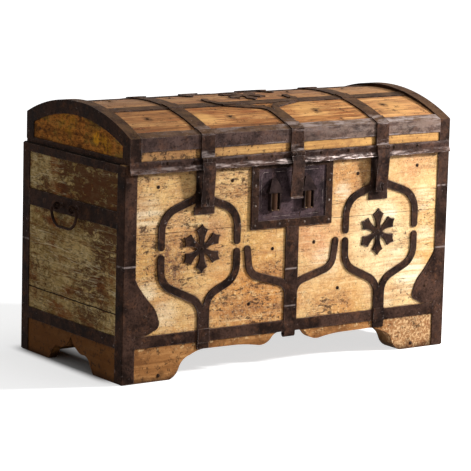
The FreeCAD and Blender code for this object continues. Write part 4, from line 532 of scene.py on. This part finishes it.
def lid_end_wood():
    """Arched ends: mottled orange and greenish brown, the left one rubbed yellow near its front."""
    s = Shader("lid_end_wood")
    streaks = s.grain((30.0, 5.0, 42.0), 8, 0.70, distort=0.6)
    clouds = s.noise(9.0, 7, 0.72, 2.0, vector=s.stretched(1.0, 1.0, 1.6))
    crumbs = s.grain((60.0, 60.0, 110.0), 6, 0.78, 26.0)
    patches = s.span(s.noise(52.0, 7, 0.76, 16.0), 0.42, 0.58)
    left = s.span(s.x, -0.1, 0.1, 1.0, 0.0)
    wood = s.coats(
        s.ramp(clouds, (0.38, linear(92, 82, 38)), (0.46, linear(158, 114, 50)),
               (0.53, linear(212, 130, 56)), (0.61, linear(92, 56, 26))),
        (s.span(crumbs, 0.48, 0.58, 0.0, 0.75), linear(66, 44, 20)),
        (s.span(crumbs, 0.36, 0.46, 0.45, 0.0), linear(216, 158, 76)),
        (s.span(streaks, 0.48, 0.62, 0.0, 0.60), linear(80, 46, 20)),
        (s.span(streaks, 0.36, 0.47, 0.45, 0.0), linear(186, 140, 74)),
        (s.times(s.spots(s.y, s.z, LID_END_GOLD), patches, left, 0.9), linear(255, 178, 44)),
        # Painted shade: the right end, which the key lamp lights, is dulled and darker.
        (s.span(s.x, -0.1, 0.1, 0.0, 0.35), linear(128, 88, 54)),
    )
    # Painted shade along the lower edge, in the gap above the body.
    lower_edge_shade = s.span(s.z, 0.645, 0.665, 1.0, 0.0)
    marks = s.plus(s.span(s.noise(46.0, 7, 0.76, 7.0), 0.58, 0.66), lower_edge_shade)
    return aged_wood(s, wood, marks, s.times(0.6, streaks), 0.04)


def plinth_wood():
    """Orange-brown plinth, rubbed along its top, with a crumbling cream coat on the right."""
    s = Shader("plinth_wood")
    streaks = s.grain((5.0, 5.0, 44.0), 8, 0.70, distort=0.4)
    clouds = s.noise(10.0, 7, 0.70, 2.0)
    cream = s.span(s.x, 0.28, 0.42)
    crumbs = s.math("ADD", s.noise(120.0, 5, 0.72, 5.0), s.times(0.16, cream))
    rust = s.times(cream, s.span(s.noise(26.0, 6, 0.74, 24.0), 0.52, 0.62), 0.7)
    rubbed = s.times(s.span(s.z, 0.080, 0.100),
                     s.span(s.noise(80.0, 5, 0.7, 11.0), 0.54, 0.64), 0.8)
    left_face = s.span(s.x, -0.5925, -0.5915, 0.85, 0.0)
    wood = s.coats(
        s.ramp(streaks, (0.34, linear(112, 70, 36)), (0.50, linear(164, 112, 64)),
               (0.66, linear(204, 152, 96))),
        (s.times(cream, 0.75), linear(146, 102, 66)),
        (s.span(clouds, 0.46, 0.62, 0.0, 0.80), linear(112, 70, 38)),
        (s.span(crumbs, 0.60, 0.76, 0.0, 0.80), linear(224, 186, 138)),
        (rust, linear(132, 78, 44)),
        (rubbed, linear(216, 180, 130)),
        (left_face, linear(112, 68, 30)),
    )
    nail_stains = s.spots(s.x, s.z, PLINTH_STAINS)
    marks = s.plus(s.span(s.noise(38.0, 7, 0.76, 8.0), 0.55, 0.63),
                   s.span(s.noise(120.0, 4, 0.7, 9.0), 0.58, 0.66), s.times(0.6, nail_stains))
    return aged_wood(s, wood, marks, s.times(0.6, streaks), 0.06)


def bare_wood():
    """Floor boards and foot blocks: plain aged softwood."""
    s = Shader("bare_wood")
    streaks = s.grain((3.0, 40.0, 40.0), 6, 0.62)
    wood = s.coats(
        s.ramp(streaks, (0.30, linear(96, 66, 38)), (0.55, linear(140, 102, 64)),
               (0.75, linear(168, 128, 84))),
        # Soiling and painted shade where the boards meet.
        (s.span(s.corner_shade_grime(0.05), 0.10, 0.80, 0.0, 0.6), linear(58, 40, 26)),
    )
    return s.finish(wood, 0.85, s.bump(streaks, 0.0010), 0.2)


# Irons

DARK_IRON = linear(31, 20, 16)
LIGHT_IRON = linear(74, 53, 44)
# A reach in X past both ends of the chest.
ALL_ALONG = 9.0
# A rubbed stretch of iron, with a painted highlight along it: its ends in Z and their softness,
# how bright it is at the left and right of the middle, and by how much that changes at the far right.
RubGlint = namedtuple("RubGlint", "low high soft left right far_right")
# The upright barrels in the lock's towers: their middles in X, half their width, their ends in Z.
BARREL_MIDDLES = (-0.075, 0.049)
BARREL_HALF_WIDTH = 0.0130
BARREL_ENDS = (0.4785, 0.5315)


def iron_shine(s, worn, seams, reach, rubbed):
    """Bright metal: worn edges and chips, seams, and rubbed stretches that are partly painted
    highlight.
    """
    edge = s.times(0.55, s.ridges(0.0016), s.span(s.noise(26.0, 5, 0.7, 9.0), 0.44, 0.60))
    chips = s.times(0.40, s.span(s.noise(95.0, 4, 0.7, 14.0), 0.62, 0.70))
    shine = s.times(worn, s.plus(edge, chips))
    # Rubbed stretches: worn bare iron, and painted highlights where the light catches it.
    for rub_glint in rubbed:
        streaky = s.span(s.grain((14.0, 50.0, 85.0), 8, 0.78, 4.0), 0.46, 0.60)
        share = s.times(s.span(s.x, -0.55, 0.20, rub_glint.left, rub_glint.right),
                        s.span(s.x, 0.30, 0.42, 1.0, rub_glint.far_right))
        shine = s.plus(shine, s.times(share, s.band(s.z, rub_glint.low, rub_glint.high, rub_glint.soft), streaky))
    for low, high in seams:
        near = s.band(s.x, -reach, reach, 0.001)
        patchy = s.span(s.noise(40.0, 3, 0.6, 3.0), 0.40, 0.55)
        shine = s.plus(shine, s.times(0.45, s.band(s.z, low, high, 0.0012), near, patchy))
    return shine


def forged(name, dark=DARK_IRON, light=LIGHT_IRON, brown=0.45, worn=1.0, pale=0.0,
           seams=(), reach=ALL_ALONG, rubbed=()):
    """Wrought iron: hammered and pitted, brown scale, dust on top, bright where it is rubbed, with
    painted highlights there.

    Brown is the strength of the scale, worn that of bright edges and chips, and pale that of a
    greyer skin towards the right. Seams are (low, high) in Z, kept within a reach of the middle in X.
    """
    s = Shader(name)
    clouds = s.noise(13.0, 6, 0.66, 1.0)
    grit = s.noise(140.0, 5, 0.74, 2.0)
    scale = s.noise(30.0, 7, 0.74, 5.0)
    upward = s.parts(s.facing)[2]
    dust = s.times(s.span(upward, 0.50, 0.95), s.span(scale, 0.38, 0.58, 0.15, 0.62))
    colour = s.coats(
        s.mix(s.span(clouds, 0.36, 0.62), dark, light),
        (s.span(scale, 0.50, 0.66, 0.0, brown), linear(112, 74, 52)),
        (s.span(scale, 0.34, 0.46, 0.6, 0.0), darker(dark, 0.55)),
        (s.span(grit, 0.50, 0.62, 0.0, 0.65), darker(dark, 0.40)),
        (dust, linear(104, 78, 55)),
    )
    if pale:
        skin = s.span(s.grain((26.0, 60.0, 60.0), 7, 0.76, 27.0), 0.42, 0.60, 0.12, 1.0)
        colour = s.mix(s.times(pale, skin, s.span(s.x, -0.15, 0.30)), colour, linear(160, 136, 122))
    shine = iron_shine(s, worn, seams, reach, rubbed)
    colour = s.mix(shine, colour, linear(168, 152, 146))
    roughness = s.minus(s.span(clouds, 0.30, 0.70, 0.52, 0.68), s.times(0.20, shine))
    hammer = s.noise(38.0, 4, 0.55, 6.0)
    normal = s.bump(s.plus(s.times(0.6, hammer), s.times(0.40, grit)), 0.0026)
    return s.finish(colour, roughness, normal, 0.02, s.times(0.6, shine))


def tower_iron():
    """Dark roofs and cheeks; the upright barrels inside are brown, with painted highlights down their
    sides.
    """
    s = Shader("tower_iron")
    clouds = s.noise(30.0, 6, 0.68, 1.0)
    grit = s.noise(140.0, 5, 0.74, 2.0)
    soft = 0.0006
    barrels = []
    sides = []
    for middle in BARREL_MIDDLES:
        barrels.append(s.band(s.x, middle - BARREL_HALF_WIDTH, middle + BARREL_HALF_WIDTH, soft))
        # Painted highlights: bright brassy lines down each side of a barrel.
        left_side = s.band(s.x, middle - 0.0122, middle - 0.0098, soft)
        right_side = s.band(s.x, middle + 0.0085, middle + 0.0118, soft)
        sides.append(s.plus(left_side, s.times(0.8, right_side)))
    upright = s.band(s.z, *BARREL_ENDS, soft)
    lit = s.times(s.plus(*sides), upright, s.span(s.noise(60.0, 4, 0.7, 4.0), 0.36, 0.52))
    edge = s.times(0.5, s.ridges(0.0014), s.span(clouds, 0.42, 0.56))
    colour = s.coats(
        s.mix(s.span(clouds, 0.35, 0.65), linear(26, 18, 18), linear(58, 44, 42)),
        (s.times(s.plus(*barrels), upright, 0.8), linear(74, 50, 36)),
        (s.span(grit, 0.52, 0.66, 0.0, 0.55), linear(20, 13, 12)),
        (s.times(0.75, lit), linear(200, 166, 124)),
        (edge, linear(122, 104, 94)),
    )
    normal = s.bump(s.plus(s.times(0.5, clouds), s.times(0.3, grit)), 0.0018)
    return s.finish(colour, 0.78, normal, 0.02, s.times(0.4, lit))


def works_steel():
    """The lock's case and bolt: dull filed steel."""
    s = Shader("works_steel")
    clouds = s.noise(30.0, 5, 0.6)
    colour = s.mix(s.span(clouds, 0.35, 0.65), linear(96, 88, 80), linear(140, 132, 124))
    return s.finish(colour, 0.45, s.bump(clouds, 0.0006), 0.5, 0.8)


HASP_DARK = linear(32, 22, 19)
HASP_LIGHT = linear(76, 56, 48)
materials = {
    "front": painted_front(),
    "sides": painted_sides(),
    "lid": lid_boards(),
    "riser": riser_boards(),
    "lid_end": lid_end_wood(),
    "plinth": plinth_wood(),
    "bare": bare_wood(),
    "iron": forged("forged_iron"),
    "arm": forged("arm_iron", linear(27, 18, 15), linear(60, 43, 36), brown=0.35, worn=1.4),
    "corner": forged("corner_iron", seams=((0.345, 0.350),)),
    "corner_right": forged("corner_iron_right", seams=((0.312, 0.317), (0.508, 0.513))),
    "centre": forged("centre_iron", seams=((0.293, 0.298), (0.180, 0.184)), reach=0.024),
    # The rubbed stretches below are worn iron and painted highlights together.
    "edge": forged(
        "edge_iron", linear(42, 31, 29), linear(90, 70, 64), brown=0.35, pale=0.5,
        rubbed=(RubGlint(0.720, 0.734, soft=0.002, left=0.10, right=0.70, far_right=1.7),
                RubGlint(0.681, 0.685, soft=0.001, left=0.05, right=0.60, far_right=1.0),
                RubGlint(0.700, 0.722, soft=0.006, left=-0.25, right=0.22, far_right=1.2))),
    "lip": forged(
        "lip_iron", linear(38, 26, 23), linear(80, 59, 51),
        rubbed=(RubGlint(0.6155, 0.6320, soft=0.003, left=0.35, right=1.0, far_right=0.35),
                RubGlint(0.646, 0.653, soft=0.002, left=0.10, right=0.35, far_right=0.8))),
    "strap": forged(
        "strap_iron",
        rubbed=(RubGlint(0.715, 0.742, soft=0.006, left=0.3, right=0.6, far_right=1.0),
                RubGlint(0.650, 0.672, soft=0.004, left=0.4, right=0.7, far_right=1.0))),
    "hasp": forged("hasp_iron", HASP_DARK, HASP_LIGHT, worn=1.3),
    "hasp_tip": forged(
        "hasp_tip_iron", HASP_DARK, HASP_LIGHT, worn=1.3,
        rubbed=(RubGlint(0.500, 0.517, soft=0.002, left=0.7, right=0.9, far_right=1.0),)),
    "border": forged("lock_border_iron", linear(30, 20, 16), linear(62, 43, 34),
                     brown=0.35, worn=1.3),
    "lock": forged("lock_iron", linear(36, 28, 30), linear(84, 67, 70), brown=0.15, worn=1.6),
    "towers": tower_iron(),
    "nail": forged("nail_iron", linear(30, 20, 15), linear(70, 50, 38)),
    "rivet": forged("rivet_iron", linear(70, 60, 56), linear(150, 134, 124), brown=0.2),
    "works": works_steel(),
}

WOODS = ("front", "sides", "lid", "riser", "lid_end", "plinth", "bare")
# The nodes that wear each material; all the others wear the plain iron.
WORN_BY = {
    "front": ["front_board_lower", "front_board_upper"],
    "sides": ["left_board_lower", "left_board_upper", "right_board_lower", "right_board_upper",
              "back_board_lower", "back_board_upper"],
    "lid": ["lid_staves"],
    "riser": ["lid_front_rail", "lid_back_rail"],
    "lid_end": ["lid_end_left", "lid_end_right"],
    "plinth": ["apron_front", "apron_back", "apron_left", "apron_right"],
    "bare": ["floor_boards", "foot_blocks"],
    "corner": ["corner_iron_left", "corner_irons_back"],
    "corner_right": ["corner_iron_right"],
    "centre": ["tulip_centre"],
    "arm": ["tulip_upper_left", "tulip_upper_right", "tulip_lower_left", "tulip_lower_right",
            "star_left", "star_right"],
    "edge": ["lid_edge_iron_front", "lid_back_irons"],
    "lip": ["lid_front_lip"],
    "strap": ["lid_strap_left", "lid_strap_centre", "lid_strap_right"],
    "hasp": ["hasp_left", "hasp_right"],
    "hasp_tip": ["hasp_centre"],
    "rivet": ["hasp_staples"],
    "lock": ["lock_plate"],
    "border": ["lock_border"],
    "towers": ["lock_towers"],
    "nail": ["body_nails", "lid_nails"],
    "works": ["lock_case", "lock_bolt"],
}
WOOD_ROUNDING = 0.0016
IRON_ROUNDING = 0.0007
SHARP_ANGLE = math.radians(40)


def dress_nodes():
    """Give each solid its material and finely rounded edges."""
    material_of = {node: key for key, group in WORN_BY.items() for node in group}
    for name, piece in nodes.items():
        key = material_of.get(name, "iron")
        piece.data.materials.clear()
        piece.data.materials.append(materials[key])
        bevel = piece.modifiers.new("worn_edges", "BEVEL")
        bevel.width = WOOD_ROUNDING if key in WOODS else IRON_ROUNDING
        bevel.segments = 2
        bevel.limit_method = "ANGLE"
        bevel.angle_limit = SHARP_ANGLE


# Trim of the lock plate

STUD_RADIUS = 0.0034
STUD_HEIGHT = 0.0016
STUD_UNEVENNESS = 0.06
STUD_LEVELS = 5
STUD_SIDES = 12
# From the border's outer edge in to the row of studs, and to the field that it frames.
STUD_INSET = 0.012
BORDER_WIDTH = 0.024
# The chased line: its gap to the border, the radius of its corners and the steps in each, its
# width, its height, and how deep its foot is sunk in the plate.
LINE_GAP = 0.010
LINE_CORNER = 0.012
LINE_STEPS = 6
LINE_WIDTH = 0.0016
LINE_HEIGHT = 0.0006
LINE_SUNK = 0.0001


def new_piece(name, shape, material):
    """An object of its own from a finished shape."""
    mesh = bpy.data.meshes.new(name)
    shape.to_mesh(mesh)
    shape.free()
    mesh.materials.append(material)
    piece = bpy.data.objects.new(name, mesh)
    bpy.context.scene.collection.objects.link(piece)
    return piece


def stud_mesh():
    """A domed rivet head, a little uneven, that stands on the XY plane."""
    mesh = bpy.data.meshes.new("lock_studs_head")
    shape = bmesh.new()
    rings = []
    chance = random.Random("lock_studs_head")
    for level in range(STUD_LEVELS):
        angle = math.pi / 2 * level / STUD_LEVELS
        ring = []
        for step in range(STUD_SIDES):
            turn = 2 * math.pi * step / STUD_SIDES
            reach = STUD_RADIUS * math.cos(angle) * (1 + STUD_UNEVENNESS * chance.uniform(-1, 1))
            point = (reach * math.cos(turn), reach * math.sin(turn), STUD_HEIGHT * math.sin(angle))
            ring.append(shape.verts.new(point))
        rings.append(ring)
    top = shape.verts.new((0, 0, STUD_HEIGHT))
    for low, high in zip(rings, rings[1:]):
        for step in range(STUD_SIDES):
            following = (step + 1) % STUD_SIDES
            shape.faces.new((low[step], low[following], high[following], high[step]))
    for step in range(STUD_SIDES):
        shape.faces.new((rings[-1][step], rings[-1][(step + 1) % STUD_SIDES], top))
    shape.faces.new(list(reversed(rings[0])))
    shape.to_mesh(mesh)
    shape.free()
    return mesh


def add_studs():
    """Rivet heads on the border of the lock plate: four above, four below, two on each side."""
    low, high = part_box("lock_border")
    left, right = low.x + STUD_INSET, high.x - STUD_INSET
    bottom, top = low.z + STUD_INSET, high.z - STUD_INSET
    places = []
    for share in (0.0, 0.33, 0.67, 1.0):
        x = left + (right - left) * share
        places += [(x, low.y, bottom), (x, low.y, top)]
    for share in (0.33, 0.67):
        z = bottom + (top - bottom) * share
        places += [(left, low.y, z), (right, low.y, z)]
    head = stud_mesh()
    to_front = Vector((0, 0, 1)).rotation_difference(Vector((0, -1, 0))).to_matrix().to_4x4()
    shape = bmesh.new()
    for place in places:
        before = len(shape.verts)
        shape.from_mesh(head)
        shape.verts.ensure_lookup_table()
        bmesh.ops.transform(shape, matrix=Matrix.Translation(place) @ to_front,
                            verts=shape.verts[before:])
    piece = new_piece("lock_studs", shape, materials["rivet"])
    for face in piece.data.polygons:
        face.use_smooth = True
    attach(piece, "body")


def add_lock_ridge():
    """A chased line with rounded corners, round the field of the lock plate."""
    low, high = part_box("lock_border")
    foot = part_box("lock_plate")[0].y + LINE_SUNK
    inset = BORDER_WIDTH + LINE_GAP + LINE_CORNER
    left, right = low.x + inset, high.x - inset
    bottom, top = low.z + inset, high.z - inset
    corners = ((right, top, 0), (left, top, 90), (left, bottom, 180), (right, bottom, 270))
    shape = bmesh.new()
    rings = []
    for inward, height in ((0.0, 0.0), (0.3, LINE_HEIGHT), (0.7, LINE_HEIGHT), (1.0, 0.0)):
        reach = LINE_CORNER - LINE_WIDTH * inward
        ring = []
        for corner_x, corner_z, start in corners:
            for step in range(LINE_STEPS + 1):
                angle = math.radians(start + 90 * step / LINE_STEPS)
                point = (corner_x + reach * math.cos(angle), foot - height,
                         corner_z + reach * math.sin(angle))
                ring.append(shape.verts.new(point))
        rings.append(ring)
    rings.append(rings[0])
    for outer, inner in zip(rings, rings[1:]):
        for step in range(len(outer)):
            following = (step + 1) % len(outer)
            shape.faces.new((outer[step], outer[following], inner[following], inner[step]))
    bmesh.ops.recalc_face_normals(shape, faces=shape.faces)
    piece = new_piece("lock_ridge", shape, materials["lock"])
    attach(piece, "body")


# Stage and light

FLOOR_REACH = 60.0
FLOOR_GREY = (0.62, 0.62, 0.62)
WHITE = (1.0, 1.0, 1.0)
# How white the floor shows near the chest and far off, and the squares of the two distances.
FLOOR_NEAR, FLOOR_FAR = 0.66, 1.0
NEAR_SQUARED, FAR_SQUARED = 1.5, 9.0
WORLD_FILL = 0.23
# The point that the lamps face.
LIT_POINT = Vector((0, 0, 0.45))


def add_floor():
    """A pale floor, white to camera and reflections, keeping the chest's shadow; painted shadow at
    the left end.
    """
    s = Shader("floor")
    ray = s.node("ShaderNodeLightPath")
    seen = s.plus(ray.outputs["Is Camera Ray"], ray.outputs["Is Glossy Ray"],
                  ray.outputs["Is Transmission Ray"])
    squared = s.math("MULTIPLY_ADD", s.x, s.x, s.times(s.y, s.y))
    level = s.span(squared, NEAR_SQUARED, FAR_SQUARED, FLOOR_NEAR, FLOOR_FAR)
    # Painted shadow: the floor glows less under and beside the chest's left end.
    left_end_shadow = s.times(s.span(s.x, -0.57, -0.32, 1.0, 0.0), s.span(s.x, -0.64, -0.58),
                             s.band(s.y, -0.22, 0.30, 0.06))
    level = s.minus(level, s.times(0.75, left_end_shadow), clamp=True)
    glow = s.node("ShaderNodeEmission", Color=WHITE, Strength=s.times(seen, level))
    matt = s.node("ShaderNodeBsdfDiffuse", Color=FLOOR_GREY)
    both = s.tree.nodes.new("ShaderNodeAddShader")
    s.tree.links.new(glow.outputs[0], both.inputs[0])
    s.tree.links.new(matt.outputs[0], both.inputs[1])
    s.tree.links.new(both.outputs[0], s.tree.nodes["Material Output"].inputs["Surface"])
    mesh = bpy.data.meshes.new("floor")
    reach = FLOOR_REACH
    corners = [(-reach, -reach, 0), (reach, -reach, 0), (reach, reach, 0), (-reach, reach, 0)]
    mesh.from_pydata(corners, [], [(0, 1, 2, 3)])
    mesh.materials.append(s.material)
    floor = bpy.data.objects.new("floor", mesh)
    bpy.context.scene.collection.objects.link(floor)


def add_world():
    """White to the camera and in reflections, a weak even fill to all else."""
    world = bpy.data.worlds.new("studio")
    bpy.context.scene.world = world
    world.use_nodes = True
    tree = world.node_tree
    sky = tree.nodes["Background"]
    ray = tree.nodes.new("ShaderNodeLightPath")
    seen = ray.outputs["Is Camera Ray"]
    for kind in ("Is Glossy Ray", "Is Transmission Ray"):
        either = tree.nodes.new("ShaderNodeMath")
        either.operation = "MAXIMUM"
        tree.links.new(seen, either.inputs[0])
        tree.links.new(ray.outputs[kind], either.inputs[1])
        seen = either.outputs[0]
    level = tree.nodes.new("ShaderNodeMapRange")
    tree.links.new(seen, level.inputs["Value"])
    level.inputs["To Min"].default_value = WORLD_FILL
    level.inputs["To Max"].default_value = 1.0
    tree.links.new(level.outputs[0], sky.inputs["Strength"])
    sky.inputs["Color"].default_value = (*WHITE, 1.0)


def add_lamp(name, direction, distance, side, power):
    """A square lamp that faces the lit point from a direction."""
    data = bpy.data.lights.new(name, "AREA")
    data.shape = "SQUARE"
    data.size = side
    data.energy = power
    lamp = bpy.data.objects.new(name, data)
    way = Vector(direction).normalized()
    lamp.location = LIT_POINT + way * distance
    lamp.rotation_euler = way.to_track_quat("Z", "Y").to_euler()
    bpy.context.scene.collection.objects.link(lamp)


dress_nodes()
add_studs()
add_lock_ridge()
add_floor()
add_world()
add_lamp("key", direction=(1.9, -1.0, 0.66), distance=4.3, side=0.4, power=345)
add_lamp("top", direction=(0.4, -0.3, 2.0), distance=5.0, side=3.0, power=65)
add_camera()
bpy.context.scene.view_settings.view_transform = "Standard"
